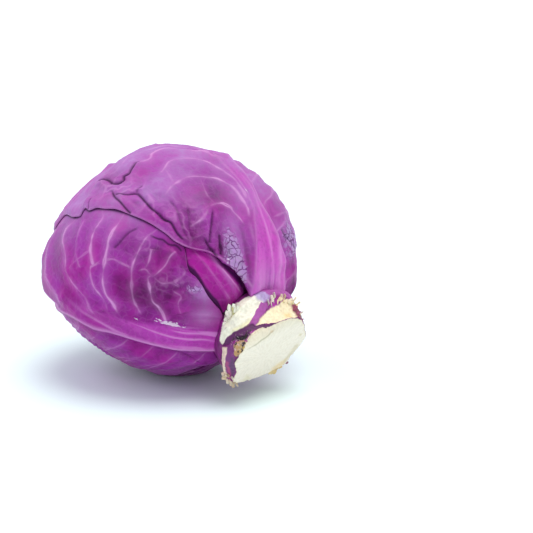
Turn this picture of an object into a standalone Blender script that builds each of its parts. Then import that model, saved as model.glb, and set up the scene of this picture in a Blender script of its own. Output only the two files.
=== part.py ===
"""Red cabbage head lying on its side, with its cut stem, packed inner head and six wrapper leaves.

Metres, +Z up. The stem points along +X and a little down. The origin is on the surface
that the head lies on, under the middle of the whole piece.
"""

import math

import bpy
import numpy as np

# Head: half widths along X, Y and Z, how far the stem dips, and where the middle of the head is
headHalfWidths = (0.0770, 0.0770, 0.0724)
stemDipDegrees = 26.4
headCentre = (-0.0092, 0.0, 0.0684)

# Broad swells and flats of the head: (degrees from the stem, azimuth, spread in degrees, height)
headLobes = (
    (69, 135, 20, 0.0045),
    (101, 154, 20, 0.0015),
    (128, 177, 20, 0.0045),
    (145, -140, 20, -0.0035),
    (139, -92, 20, -0.0010),
    (120, -64, 18, 0.0065),
    (89, -43, 20, -0.0065),
)

# Layers, counted outwards from the packed inner head
innerHeadInset = 0.0065
leafThickness = 0.0012
layerGap = 0.0009
coverPlateauDegrees = 4.0
coverSlopeDegrees = 12.0

# The stem leaves the head as a round neck, a little off its axis: degrees seen from the middle of the head
stemNeckDegrees = 18.8
stemNeckShiftDegrees = 4.4
stemNeckShiftAzimuth = 146.0
leafClearDegrees = 0.8

# Stem: one piece from its tip inside the head, out between the leaf bases, to a slanting cut face
stemTipDistance = -0.0100
stemCoreEnd = 0.0600
stemCoreRadius = 0.0160
stemNeckInner = 0.0715
stemNeckOuter = 0.0790
socketGap = 0.0006
# Outlines of the stub: distance along the stem, then (azimuth, radius) round its leaf scars
stemOutlines = (
    (0.0860, ((-146, 0.0272), (-120, 0.0258), (-95, 0.0260), (-70, 0.0250), (-40, 0.0240), (0, 0.0215),
              (40, 0.0250), (75, 0.0280), (100, 0.0305), (128, 0.0295), (150, 0.0265), (178, 0.0260))),
    (0.0920, ((-161, 0.0259), (-132, 0.0268), (-96, 0.0243), (-71, 0.0220), (-50, 0.0236), (-26, 0.0195),
              (6, 0.0182), (26, 0.0197), (45, 0.0228), (73, 0.0277), (100, 0.0325), (128, 0.0302),
              (155, 0.0270))),
)

# Each wrapper leaf. Angles are degrees: "azimuth" is turned about the stem, 0 on the floor side and
# -90 on the -Y side; edges are (distance along the leaf from the stem, half width) on each side of its
# middle line, and ribLine is how far the rib swings off that line.
leafPlans = {
    "inner_leaf_front": {
        "azimuth": -147, "baseSpread": (24, 24), "tip": 118, "tipRound": 26, "layersBelow": 1, "veins": 5,
        "columns": 10, "ribHeight": 0.0030, "ribWidth": 0.0110,
        "ribLine": ((18, 0), (118, 0)),
        "minusEdge": ((18, 8), (30, 12), (45, 24), (62, 40), (90, 48), (118, 40)),
        "plusEdge": ((18, 8), (30, 12), (45, 24), (62, 40), (90, 46), (118, 38)),
        "under": (),
        "colour": (0.33, 0.035, 0.24),
    },
    "inner_leaf_back": {
        "azimuth": 102, "baseSpread": (24, 24), "tip": 120, "tipRound": 26, "layersBelow": 1, "veins": 5,
        "columns": 10, "ribHeight": 0.0028, "ribWidth": 0.0105,
        "ribLine": ((18, 0), (120, 0)),
        "minusEdge": ((18, 8), (30, 13), (45, 27), (62, 42), (90, 48), (120, 38)),
        "plusEdge": ((18, 8), (30, 12), (45, 25), (62, 40), (90, 46), (120, 38)),
        "under": (),
        "colour": (0.31, 0.035, 0.24),
    },
    "inner_leaf_under": {
        "azimuth": -30, "baseSpread": (26, 26), "tip": 116, "tipRound": 26, "layersBelow": 1, "veins": 5,
        "columns": 10, "ribHeight": 0.0022, "ribWidth": 0.0100,
        "ribLine": ((18, 0), (116, 0)),
        "minusEdge": ((18, 8), (30, 12), (45, 22), (62, 36), (90, 44), (116, 36)),
        "plusEdge": ((18, 8), (30, 12), (45, 22), (62, 36), (90, 44), (116, 36)),
        "under": (),
        "colour": (0.30, 0.035, 0.24),
    },
    "wrapper_leaf_under": {
        "azimuth": 34, "baseSpread": (32, 32), "tip": 168, "tipRound": 30, "layersBelow": 0, "veins": 7,
        "columns": 16, "ribHeight": 0.0036, "ribWidth": 0.0120,
        "ribLine": ((18, 0), (168, 0)),
        "minusEdge": ((18, 11), (26, 15), (36, 28), (46, 42), (60, 54), (85, 66), (115, 68), (145, 58), (168, 46)),
        "plusEdge": ((18, 11), (26, 14), (36, 22), (46, 36), (60, 50), (85, 64), (115, 68), (145, 58), (168, 46)),
        "under": ("inner_leaf_front", "inner_leaf_back", "inner_leaf_under"),
        "colour": (0.30, 0.045, 0.25),
    },
    "wrapper_leaf_front": {
        "azimuth": -88, "baseSpread": (42, 34), "tip": 170, "tipRound": 28, "layersBelow": 0, "veins": 8,
        "columns": 18, "ribHeight": 0.0042, "ribWidth": 0.0130,
        "ribLine": ((18, -2), (35, 0), (50, 2), (60, 3.5), (70, 5.5), (80, 9), (92, 13), (104, 16), (130, 16),
                    (170, 8)),
        "minusEdge": ((15, 14), (18, 19), (23, 24), (28, 29), (34, 34.5), (39, 38.5), (42, 43), (50, 51), (62, 58),
                      (85, 62), (115, 60), (145, 52), (170, 42)),
        "plusEdge": ((18, 10), (25, 14), (33, 24), (42, 38), (52, 50), (65, 58), (85, 64), (115, 64), (145, 56),
                     (170, 44)),
        "under": ("inner_leaf_front", "inner_leaf_back", "inner_leaf_under", "wrapper_leaf_under"),
        "colour": (0.32, 0.045, 0.27),
    },
    "wrapper_leaf_top": {
        "azimuth": 170, "baseSpread": (52, 20), "tip": 210, "tipRound": 22, "layersBelow": 0, "veins": 8,
        "columns": 18, "ribHeight": 0.0044, "ribWidth": 0.0175,
        "ribLine": ((18, -6.5), (34, -6.5), (48, -6), (64, -5), (80, -5), (110, -3), (160, 0), (210, 0)),
        "minusEdge": ((14, 18), (24, 20), (32, 20), (40, 20), (46, 25), (52, 32), (60, 41), (70, 52), (82, 63),
                      (102, 69), (126, 68), (152, 60), (180, 52), (210, 40)),
        "plusEdge": ((18, 8), (24, 8), (30, 13), (35, 18), (40, 24), (43, 28), (46, 36), (50, 41), (56, 44),
                     (66, 49), (77, 54), (88, 57), (100, 60), (120, 62), (142, 62.5), (158, 61), (167, 56),
                     (178, 50), (210, 44)),
        "under": ("inner_leaf_front", "inner_leaf_back", "inner_leaf_under", "wrapper_leaf_under",
                  "wrapper_leaf_front"),
        "colour": (0.40, 0.07, 0.36),
    },
}
rowsForVein = 4
veinHeight = 0.0009
veinSweep = 0.7
edgeWaveDegrees = 0.9
edgeWaves = 9

stemSide = 40
innerHeadSide = 32
innerHeadRows = 18


# Head axes: along the stem, towards the floor side, and sideways
dip = math.radians(stemDipDegrees)
stemAxis = np.array((math.cos(dip), 0.0, -math.sin(dip)))
floorSide = np.array((-math.sin(dip), 0.0, -math.cos(dip)))
sideways = np.cross(stemAxis, floorSide)


def fromPolar(fromStem, azimuth):
    """Directions at these degrees from the stem and round it."""
    theta, psi = np.radians(fromStem), np.radians(azimuth)
    ring = np.multiply.outer(np.cos(psi), floorSide) + np.multiply.outer(np.sin(psi), sideways)
    return np.cos(theta)[..., None] * stemAxis + np.sin(theta)[..., None] * ring


def leafAxes(plan):
    """The way that a leaf's rib leaves the stem, and the way across the leaf."""
    along = fromPolar(np.array(90.0), np.array(float(plan["azimuth"])))
    return along, np.cross(stemAxis, along)


def fromLeaf(plan, a, b):
    """Directions at a degrees along a leaf's rib and b degrees across it."""
    along, across = leafAxes(plan)
    a, b = np.radians(a)[..., None], np.radians(b)[..., None]
    return np.cos(b) * (np.cos(a) * stemAxis + np.sin(a) * along) + np.sin(b) * across


def toLeaf(plan, directions):
    """A leaf's own (a, b) degrees of these directions; a runs from -90 to 270."""
    along, across = leafAxes(plan)
    b = np.degrees(np.arcsin(np.clip(directions @ across, -1, 1)))
    a = np.degrees(np.arctan2(directions @ along, directions @ stemAxis))
    return np.where(a < -90, a + 360, a), b


def smoothCurve(x, knots):
    """A smooth line through the knots (Hermite spans whose slopes are those of their neighbours)."""
    kx, ky = np.array(knots, float).T
    slopes = np.gradient(ky, kx)
    x = np.clip(x, kx[0], kx[-1])
    i = np.clip(np.searchsorted(kx, x, side="right") - 1, 0, len(kx) - 2)
    span = kx[i + 1] - kx[i]
    t = (x - kx[i]) / span
    return (
        (2 * t**3 - 3 * t**2 + 1) * ky[i]
        + (t**3 - 2 * t**2 + t) * span * slopes[i]
        + (3 * t**2 - 2 * t**3) * ky[i + 1]
        + (t**3 - t**2) * span * slopes[i + 1]
    )


def smoothStep(x):
    x = np.clip(x, 0, 1)
    return x * x * (3 - 2 * x)


def headRadius(directions):
    """Distance from the middle of the head to its outside: an ellipsoid with a few broad lobes."""
    radius = 1 / np.linalg.norm(directions / np.array(headHalfWidths), axis=-1)
    for fromStem, azimuth, spread, height in headLobes:
        middle = fromPolar(np.array(float(fromStem)), np.array(float(azimuth)))
        sharpness = 1 / math.radians(spread) ** 2
        radius = radius + height * np.exp(sharpness * (directions @ middle - 1))
    return radius


def keptAboveFloor(directions, radius, inset):
    """Radii cut back to a flat, which lies on the floor for the outermost layer and inset above it for the rest."""
    down = np.maximum(-directions[..., 2], 1e-6)
    return np.minimum(radius, (headCentre[2] - inset) / down)


def neckDegrees(azimuth):
    """How far the stem's neck reaches from the stem's axis on this side."""
    return stemNeckDegrees + stemNeckShiftDegrees * np.cos(np.radians(azimuth - stemNeckShiftAzimuth))


def baseOf(plan):
    return neckDegrees(plan["azimuth"]) + leafClearDegrees


def edgeAt(plan, a, b):
    return np.where(b < 0, smoothCurve(a, plan["minusEdge"]), smoothCurve(a, plan["plusEdge"]))


def coverOf(plan, directions):
    """1 over a leaf and a little way outside its outline, then falling to 0 along a gentle slope."""
    a, b = toLeaf(plan, directions)
    edge = edgeAt(plan, a, b)
    share = np.clip(np.abs(b) / edge, 0, 1)
    inside = np.minimum(edge - np.abs(b), plan["tip"] - plan["tipRound"] * share**2 - a)
    inside = np.minimum(inside, a - baseOf(plan) + coverSlopeDegrees)
    return smoothStep((inside + coverPlateauDegrees + coverSlopeDegrees) / coverSlopeDegrees)


def ribOf(plan, directions):
    """Height of a leaf's rib: broad and flat-topped at the stem, fading to nothing near the tip."""
    a, b = toLeaf(plan, directions)
    b = b - smoothCurve(a, plan["ribLine"])
    fade = smoothStep((plan["tip"] - 12 - a) / (plan["tip"] - 30)) * smoothStep((a + 30) / 30)
    width = plan["ribWidth"] * (0.42 + 0.58 * smoothStep((80 - a) / 70))
    across = np.radians(np.abs(b)) * headHalfWidths[0] / width
    return plan["ribHeight"] * fade * smoothStep(1.35 - across)


def openTo(name, directions):
    """1 where no other leaf lies over this one, 0 where one does."""
    shown = np.ones(directions.shape[:-1])
    for plan in leafPlans.values():
        if name in plan["under"]:
            shown = shown * (1 - coverOf(plan, directions))
    return shown


def shownRib(name, directions):
    """A rib stands up where it shows and is pressed nearly flat under another leaf."""
    return ribOf(leafPlans[name], directions) * (0.15 + 0.85 * openTo(name, directions))


def underside(name, directions):
    """Radius of a leaf's inner face: the packed head and every leaf under this one, with a gap at each."""
    radius = headRadius(directions) - innerHeadInset + layerGap
    for lower in leafPlans[name]["under"]:
        cover = coverOf(leafPlans[lower], directions)
        radius = radius + cover * (leafThickness + layerGap + shownRib(lower, directions))
    return radius


def solid(name, points, faces, colour, roughness=0.42):
    """One named object with its own material, placed by its vertices about the head's middle."""
    mesh = bpy.data.meshes.new(name)
    mesh.from_pydata(points.tolist(), [], faces)
    mesh.update()
    mesh.shade_smooth()
    mesh.set_sharp_from_angle(angle=math.radians(50))
    made = bpy.data.objects.new(name, mesh)
    bpy.context.scene.collection.objects.link(made)
    made.parent = headMiddle
    finish = bpy.data.materials.new(name)
    finish.use_nodes = True
    shader = finish.node_tree.nodes["Principled BSDF"]
    shader.inputs["Base Color"].default_value = (*colour, 1)
    shader.inputs["Roughness"].default_value = roughness
    shader.inputs["Metallic"].default_value = 0
    mesh.materials.append(finish)
    return made


def shellFaces(rows, columns):
    """Triangles of two facing grids, outer then inner, split alike and joined round their rim."""
    def at(i, j, layer):
        return layer * rows * columns + i * columns + j

    faces = []
    for i in range(rows - 1):
        for j in range(columns - 1):
            for layer in (0, 1):
                corners = [at(i, j, layer), at(i, j + 1, layer), at(i + 1, j + 1, layer), at(i + 1, j, layer)]
                split = [(corners[0], corners[1], corners[2]), (corners[0], corners[2], corners[3])]
                faces += split if layer else [face[::-1] for face in split]
    rim = [(0, j) for j in range(columns)] + [(i, columns - 1) for i in range(1, rows)]
    rim += [(rows - 1, j) for j in range(columns - 2, -1, -1)] + [(i, 0) for i in range(rows - 2, 0, -1)]
    for (i, j), (k, m) in zip(rim, rim[1:] + rim[:1]):
        faces.append((at(i, j, 0), at(k, m, 0), at(k, m, 1), at(i, j, 1)))
    return faces


def leafGrid(plan, rows, columns):
    """Directions of a leaf's points: rows start on the stem's neck and sweep out like the leaf's side veins."""
    u, v = np.meshgrid(np.linspace(0, 1, rows), np.linspace(-1, 1, columns), indexing="ij")
    base = baseOf(plan)
    run = plan["tip"] - base
    sideRun = (run - plan["tipRound"]) * (veinSweep * (1 - (1 - u) ** 2) + (1 - veinSweep) * u)
    a = base + run * u + (sideRun - run * u) * v**2
    wave = edgeWaveDegrees * np.sin(2 * math.pi * edgeWaves * u + plan["azimuth"]) * np.sin(math.pi * u)
    b = v * (edgeAt(plan, a, v) + wave - edgeWaveDegrees)
    azimuth = plan["azimuth"] + v * np.where(v < 0, *plan["baseSpread"])
    baseA, baseB = toLeaf(plan, fromPolar(neckDegrees(azimuth) + leafClearDegrees, azimuth))
    start = (1 - u) ** 6
    return v, fromLeaf(plan, a + (baseA - base) * start, b + (baseB - b[:1]) * start)


def leaf(name, plan):
    """A thin cupped leaf, of which every fourth row is a raised vein."""
    rows, columns = rowsForVein * plan["veins"] + 1, plan["columns"] + 1
    v, directions = leafGrid(plan, rows, columns)
    inner = underside(name, directions)
    vein = np.where(np.arange(rows) % rowsForVein == 2, 1.0, 0.0)[:, None]
    vein = vein * veinHeight * smoothStep((1 - np.abs(v)) * 3) * openTo(name, directions)
    outer = inner + leafThickness + shownRib(name, directions) + vein
    inset = plan["layersBelow"] * (leafThickness + layerGap)
    outer = keptAboveFloor(directions, outer, inset)
    inner = keptAboveFloor(directions, inner, inset + leafThickness)
    points = np.concatenate([(directions * outer[..., None]).reshape(-1, 3),
                             (directions * inner[..., None]).reshape(-1, 3)])
    return solid(name, points, shellFaces(rows, columns), plan["colour"])


def lathe(rings, start, end):
    """Faces and points of a closed body from rings of equal length between two end points."""
    count = rings.shape[1]
    points = np.concatenate([[start], rings.reshape(-1, 3), [end]])
    last = len(points) - 1
    faces = [(0, 1 + (j + 1) % count, 1 + j) for j in range(count)]
    for i in range(rings.shape[0] - 1):
        low, high = 1 + i * count, 1 + (i + 1) * count
        for j in range(count):
            k = (j + 1) % count
            faces.append((low + j, low + k, high + k, high + j))
    low = last - count
    faces += [(last, low + j, low + (j + 1) % count) for j in range(count)]
    return points, faces


def stemCore(distance):
    """Radius of the stem inside the head, from its blunt tip outwards."""
    t = np.clip((distance - stemTipDistance) / (stemCoreEnd - stemTipDistance), 0, 1)
    return stemCoreRadius * (0.16 + 0.84 * t**0.95)


def ringsAbout(radius, distance, azimuths):
    """Rings of points at these radii from the stem's axis and distances along it."""
    ring = np.multiply.outer(np.cos(azimuths), floorSide) + np.multiply.outer(np.sin(azimuths), sideways)
    return radius[..., None] * ring + distance[..., None] * stemAxis


def innerHead():
    """The ball of packed inner leaves, with the socket that the stem's core fills."""
    azimuths = np.linspace(0, 2 * math.pi, innerHeadSide, endpoint=False)
    depth = np.linspace(stemTipDistance - socketGap, stemCoreEnd, 6)
    socket = ringsAbout(np.repeat((stemCore(depth + socketGap) + socketGap)[:, None], innerHeadSide, 1),
                        np.repeat(depth[:, None], innerHeadSide, 1), azimuths)
    share, psi = np.meshgrid(np.linspace(0, 1, innerHeadRows)[:-1], np.degrees(azimuths), indexing="ij")
    theta = (neckDegrees(psi) + 2 * leafClearDegrees) * (1 - share) + 180 * share
    directions = fromPolar(theta, psi)
    radius = keptAboveFloor(directions, headRadius(directions) - innerHeadInset,
                            2 * (leafThickness + layerGap) + layerGap)
    ball = directions * radius[..., None]
    far = -stemAxis * (headRadius(-stemAxis) - innerHeadInset)
    points, faces = lathe(np.concatenate([socket, ball]), stemAxis * (stemTipDistance - 2 * socketGap), far)
    return solid("inner_head", points, [face[::-1] for face in faces], (0.24, 0.02, 0.19))


def stem():
    """The stem: a core cone inside the head and a stub outside it, faceted by leaf scars and cut flat."""
    azimuths = np.linspace(0, 2 * math.pi, stemSide, endpoint=False)
    depth = np.linspace(stemTipDistance, stemCoreEnd, 6)
    core = ringsAbout(np.repeat(stemCore(depth)[:, None], stemSide, 1), np.repeat(depth[:, None], stemSide, 1),
                      azimuths)
    neck = fromPolar(neckDegrees(np.degrees(azimuths)), np.degrees(azimuths))
    neck = np.multiply.outer(np.array((stemNeckInner, stemNeckOuter)), neck)
    outlines = []
    for distance, knots in stemOutlines:
        around = [(azimuth + turn, radius) for turn in (-360, 0, 360) for azimuth, radius in knots]
        outlines.append((distance, smoothCurve((np.degrees(azimuths) + 180) % 360 - 180, around)))
    cutDistance, cutRadius = outlines[-1]
    outlines += [(cutDistance + 0.0004, 0.96 * cutRadius), (cutDistance + 0.0006, 0.5 * cutRadius)]
    stub = ringsAbout(np.array([radius for _, radius in outlines]),
                      np.repeat(np.array([distance for distance, _ in outlines])[:, None], stemSide, 1), azimuths)
    points, faces = lathe(np.concatenate([core, neck, stub]), stemAxis * (stemTipDistance - socketGap / 2),
                          stemAxis * (cutDistance + 0.0007))
    return solid("stem", points, faces, (0.80, 0.74, 0.56), 0.6)


for old in list(bpy.data.objects):
    bpy.data.objects.remove(old)
headMiddle = bpy.data.objects.new("head_middle", None)
headMiddle.location = headCentre
bpy.context.scene.collection.objects.link(headMiddle)

stem()
innerHead()
for leafName, leafPlan in leafPlans.items():
    leaf(leafName, leafPlan)
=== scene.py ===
import math

import bpy
import numpy as np
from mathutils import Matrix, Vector


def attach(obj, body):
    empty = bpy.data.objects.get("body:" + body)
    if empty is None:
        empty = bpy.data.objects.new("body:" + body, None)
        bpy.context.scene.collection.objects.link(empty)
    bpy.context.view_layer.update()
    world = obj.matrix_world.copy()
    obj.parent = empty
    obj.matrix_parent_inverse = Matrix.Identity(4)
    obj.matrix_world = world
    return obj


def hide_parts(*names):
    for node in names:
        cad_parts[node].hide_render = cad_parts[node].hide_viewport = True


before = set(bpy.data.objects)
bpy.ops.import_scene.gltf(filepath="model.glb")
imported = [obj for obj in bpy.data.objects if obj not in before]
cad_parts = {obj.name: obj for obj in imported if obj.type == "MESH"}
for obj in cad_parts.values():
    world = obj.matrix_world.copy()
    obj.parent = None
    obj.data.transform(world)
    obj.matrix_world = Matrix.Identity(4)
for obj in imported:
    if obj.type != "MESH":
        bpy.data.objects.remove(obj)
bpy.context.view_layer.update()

# The head's form: half widths along X, Y and Z, how far the stem dips, and its broad swells and flats,
# each (degrees from the stem, azimuth round it, spread in degrees, height)
head = {
    "centre": (-0.0092, 0.0, 0.0684),
    "halfWidths": (0.0770, 0.0770, 0.0724),
    "stemDip": 26.4,
    "lobes": ((69, 135, 20, 0.0045), (101, 154, 20, 0.0015), (128, 177, 20, 0.0045), (145, -140, 20, -0.0035),
              (139, -92, 20, -0.0010), (120, -64, 18, 0.0065), (89, -43, 20, -0.0065)),
    "innerInset": 0.0074,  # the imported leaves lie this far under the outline
    "thickness": 0.0012,
    "gap": 0.0009,
    "coverPlateau": 3.0,
    "coverSlope": 9.0,
    "neckDegrees": 18.8,
    "neckShift": 4.4,
    "neckShiftAzimuth": 146.0,
    "leafClear": 0.8,
    "upFrom": 0.10,  # from this height of its own tilt a surface counts as facing up, for painted sheen and shade
    "seed": 4,
}

dip = math.radians(head["stemDip"])
stemAxis = np.array((math.cos(dip), 0.0, -math.sin(dip)))
floorSide = np.array((-math.sin(dip), 0.0, -math.cos(dip)))
sideways = np.cross(stemAxis, floorSide)
headCentre = np.array(head["centre"])
ball = head["halfWidths"][0]
tiny = 1e-6


# Direction at these degrees from the stem and round it: axis x cos + ring x sin
def fromPolar(fromStem, azimuth):
    theta, psi = np.radians(fromStem), np.radians(azimuth)
    ring = np.multiply.outer(np.cos(psi), floorSide) + np.multiply.outer(np.sin(psi), sideways)
    return np.cos(theta)[..., None] * stemAxis + np.sin(theta)[..., None] * ring


def leafAxes(plan):  # the way that the leaf's middle line leaves the stem, and the way across it
    along = fromPolar(np.array(90.0), np.array(float(plan["azimuth"])))
    return along, np.cross(stemAxis, along)


# Direction a degrees along a leaf and b degrees across: cos b (axis cos a + along sin a) + across sin b
def fromLeaf(plan, a, b):
    along, across = leafAxes(plan)
    a, b = np.radians(a)[..., None], np.radians(b)[..., None]
    return np.cos(b) * (np.cos(a) * stemAxis + np.sin(a) * along) + np.sin(b) * across


def toLeaf(plan, directions):  # the inverse of fromLeaf, a from -90 to 270
    along, across = leafAxes(plan)
    b = np.degrees(np.arcsin(np.clip(directions @ across, -1, 1)))
    a = np.degrees(np.arctan2(directions @ along, directions @ stemAxis))
    return np.where(a < -90, a + 360, a), b


# A smooth line through the knots: Hermite spans, each knot's slope the mean of its neighbours'
def smoothCurve(x, knots):
    kx, ky = np.array(knots, float).T
    slopes = np.gradient(ky, kx)
    x = np.clip(x, kx[0], kx[-1])
    i = np.clip(np.searchsorted(kx, x, side="right") - 1, 0, len(kx) - 2)
    span = kx[i + 1] - kx[i]
    t = (x - kx[i]) / span
    return ((2 * t**3 - 3 * t**2 + 1) * ky[i] + (t**3 - 2 * t**2 + t) * span * slopes[i]
            + (3 * t**2 - 2 * t**3) * ky[i + 1] + (t**3 - t**2) * span * slopes[i + 1])


def smoothStep(x):  # 3 x^2 - 2 x^3 between 0 and 1
    x = np.clip(x, 0, 1)
    return x * x * (3 - 2 * x)


def rise(x, start, over):  # 0 up to start, 1 from so much further on
    return smoothStep((x - start) / over)


def keep(share, least):  # from this least, where the share is 0, to 1
    return least + (1 - least) * share


def lift(x, level, gain, most=2.0):  # level + gain x, from 0 to most
    return np.clip(level + gain * x, 0, most)


def bell(distance, width):  # e^-(distance / width)^2
    return np.exp(-((distance / width) ** 2))


noiseLattice = {"entries": 4096, "strides": (73, 179, 283), "scramble": (31, 7), "shift": 1000.0}


# Smooth noise from 0 to 1: random numbers on a cubic lattice of this spacing, blended by smoothstep
def latticeNoise(points, spacing, seed):
    table = np.random.default_rng(head["seed"] * 100 + seed).random(noiseLattice["entries"])
    cell = points / spacing + noiseLattice["shift"]
    corner = np.floor(cell).astype(np.int64)
    t = cell - corner
    t = t * t * (3 - 2 * t)
    times, over = noiseLattice["scramble"]
    total = 0
    for step in np.ndindex(2, 2, 2):
        index, weight = 0, 1.0
        for k, stride in enumerate(noiseLattice["strides"]):
            index = index + (corner[..., k] + step[k]) * stride
            weight = weight * (t[..., k] if step[k] else 1 - t[..., k])
        total = total + weight * table[(index * times + index // over) % noiseLattice["entries"]]
    return total


# Layered noise about 0: each octave half as wide and half as strong as the last
def fractalNoise(points, spacing, seed, octaves):
    total = 0
    for octave in range(octaves):
        total = total + 0.5**octave * (latticeNoise(points, spacing / 2**octave, seed + octave) - 0.5)
    return total


def waves(row, points):  # layered noise of one row: (strength, spacing, seed, octaves)
    return row[0] * fractalNoise(points, *row[1:])


# Distance from the middle to the outside: an ellipsoid plus bell-shaped lobes
def headRadius(directions):
    radius = 1 / np.linalg.norm(directions / np.array(head["halfWidths"]), axis=-1)
    for fromStem, azimuth, spread, height in head["lobes"]:
        middle = fromPolar(np.array(float(fromStem)), np.array(float(azimuth)))
        radius = radius + height * np.exp((directions @ middle - 1) / math.radians(spread) ** 2)
    return radius


def keptAboveFloor(directions, radius, inset):  # cut back to a flat that lies this far above the floor
    down = np.maximum(-directions[..., 2], tiny)
    return np.minimum(radius, (headCentre[2] - inset) / down)


def neckDegrees(azimuth):  # how far the stem's neck reaches on this side
    return head["neckDegrees"] + head["neckShift"] * np.cos(np.radians(azimuth - head["neckShiftAzimuth"]))


def edgeAt(plan, a, b):  # degrees from the middle line to the edge on the side of b
    return np.where(b < 0, smoothCurve(a, plan["minusEdge"]), smoothCurve(a, plan["plusEdge"]))


# Degrees inside a leaf's outline, negative outside it
def insideOf(plan, directions):
    a, b = toLeaf(plan, directions)
    edge = edgeAt(plan, a, b)
    share = np.clip(np.abs(b) / edge, 0, 1)
    inside = np.minimum(edge - np.abs(b), plan["tip"] - plan["tipRound"] * share**2 - a)
    return np.minimum(inside, a - neckDegrees(plan["azimuth"]) - head["leafClear"] + head["coverSlope"])


def coverOf(plan, directions):  # 1 over a leaf, 0 a little way outside it
    inside = insideOf(plan, directions)
    return smoothStep((inside + head["coverPlateau"] + head["coverSlope"]) / head["coverSlope"])


ribForm = {
    "tipFade": (12, 42),  # the rib ends this far before the tip, and starts to sink this far from the stem
    "baseFade": (-30, 30),
    "underLeaves": 0.15,  # share of a rib's height that is left under other leaves
    "toneFade": (-125, 95),  # its colour ends at 125 degrees, and fades over 95
    "toneEdge": (1.6, 3),
    "grainScale": (0.035, 0.55),  # the grain is drawn out along the rib
    "grainSeed": (1.0, 31, 3),
    "drift": (2, 0.02, 33, 1),
    "streaks": (0.12, 0.3),
    "streaksBeside": 0.15,
    "streakPale": 0.75,
    "crestHighlight": (0.9, 0.0009),  # painted highlight along crests: width in degrees, and the crest's height that is all pale
    "crestFade": (20, 60),
}


# A rib is a flat-topped band between two lines: it rises over soft degrees outside each line, has a
# crest along each, and sinks to nothing near the tip
def ribOf(plan, directions):
    a, b = toLeaf(plan, directions)
    low, high = smoothCurve(a, plan["ribMinus"]), smoothCurve(a, plan["ribPlus"])
    softLow, softHigh = plan["ribSoft"]
    crestLow, crestHigh = plan["ribCrest"]
    ends, sinks = ribForm["tipFade"]
    fade = rise(-a, ends - plan["tip"], plan["tip"] - sinks) * rise(a, *ribForm["baseFade"])
    band = smoothStep((b - low + softLow) / softLow) * smoothStep((high + softHigh - b) / softHigh)
    crests = crestLow * bell(b - low, plan["crestWidth"]) + crestHigh * bell(b - high, plan["crestWidth"])
    return fade * (plan["ribHeight"] * band + crests)


def openTo(name, directions):  # 1 where no other leaf lies over this one
    shown = np.ones(directions.shape[:-1])
    for plan in leafPlans.values():
        if name in plan["under"]:
            shown = shown * (1 - coverOf(plan, directions))
    return shown


def shownRib(name, directions):
    return ribOf(leafPlans[name], directions) * keep(openTo(name, directions), ribForm["underLeaves"])


# Inner face of a leaf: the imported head, and for each leaf beneath its thickness, rib and a gap
def underside(name, directions):
    radius = headRadius(directions) - head["innerInset"] + head["gap"]
    for lower in leafPlans[name]["under"]:
        cover = coverOf(leafPlans[lower], directions)
        radius = radius + cover * (head["thickness"] + head["gap"] + shownRib(lower, directions))
    return radius


# Nearest distance from points on the ball to a smooth line through (a, b) places, and how far along
# the line that is from 0 to 1; points beyond reach keep a large distance
def nearLine(plan, points, places, reach):
    places = np.array(places, float)
    knot = np.arange(len(places), dtype=float)
    fine = np.linspace(0, len(places) - 1, 4 * (len(places) - 1) + 1)  # four steps from place to place
    a, b = (smoothCurve(fine, np.stack([knot, each], 1)) for each in places.T)
    path = fromLeaf(plan, a, b) * ball
    distance = np.full(len(points), 1.0)
    share = np.zeros(len(points))
    near = np.all((points > path.min(0) - reach) & (points < path.max(0) + reach), axis=1)
    if near.any():
        start, step = path[:-1], np.diff(path, axis=0)
        away = points[near][:, None] - start
        t = np.clip((away * step).sum(-1) / (step * step).sum(-1), 0, 1)
        gaps = np.linalg.norm(away - t[..., None] * step, axis=-1)
        nearest = gaps.argmin(1)
        rows = np.arange(len(nearest))
        distance[near] = gaps[rows, nearest]
        share[near] = (nearest + t[rows, nearest]) / (len(path) - 1)
    return distance, share


# One object from points and triangles, smooth, with a number at each point for every attribute
def makePiece(name, points, triangles, numbers, material, replaced):
    mesh = bpy.data.meshes.new(name)
    mesh.from_pydata(points, [], triangles, shade_flat=False)
    for label, values in numbers.items():
        if values.ndim == 1:
            mesh.attributes.new(label, "FLOAT", "POINT").data.foreach_set("value", values.astype(np.float32))
        else:
            rgba = np.concatenate([values, np.ones((len(values), 1))], 1).astype(np.float32)
            mesh.attributes.new(label, "FLOAT_COLOR", "POINT").data.foreach_set("color", rgba.ravel())
    mesh.update()
    piece = bpy.data.objects.new(name, mesh)
    bpy.context.scene.collection.objects.link(piece)
    mesh.materials.append(material)
    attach(piece, "root")
    if replaced:
        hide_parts(replaced)
    print(f"{name}: {len(triangles)} triangles")
    return piece


# Camera, floor and light

view = {
    "lens": 100.0,
    "sensor": 36.0,
    "place": (0.65472, -0.57920, 0.30120),
    "right": (0.70711, 0.70711, 0.0),
    "up": (-0.18301, 0.18301, 0.96593),
    "back": (0.68301, -0.68301, 0.25882),
}
cameraData = bpy.data.cameras.new("camera")
cameraData.lens = view["lens"]
cameraData.sensor_width = view["sensor"]
camera = bpy.data.objects.new("camera", cameraData)
bpy.context.scene.collection.objects.link(camera)
placing = np.eye(4)
for column, label in enumerate(("right", "up", "back", "place")):
    placing[:3, column] = view[label]
camera.matrix_world = placing.T.tolist()
bpy.context.scene.camera = camera

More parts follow.
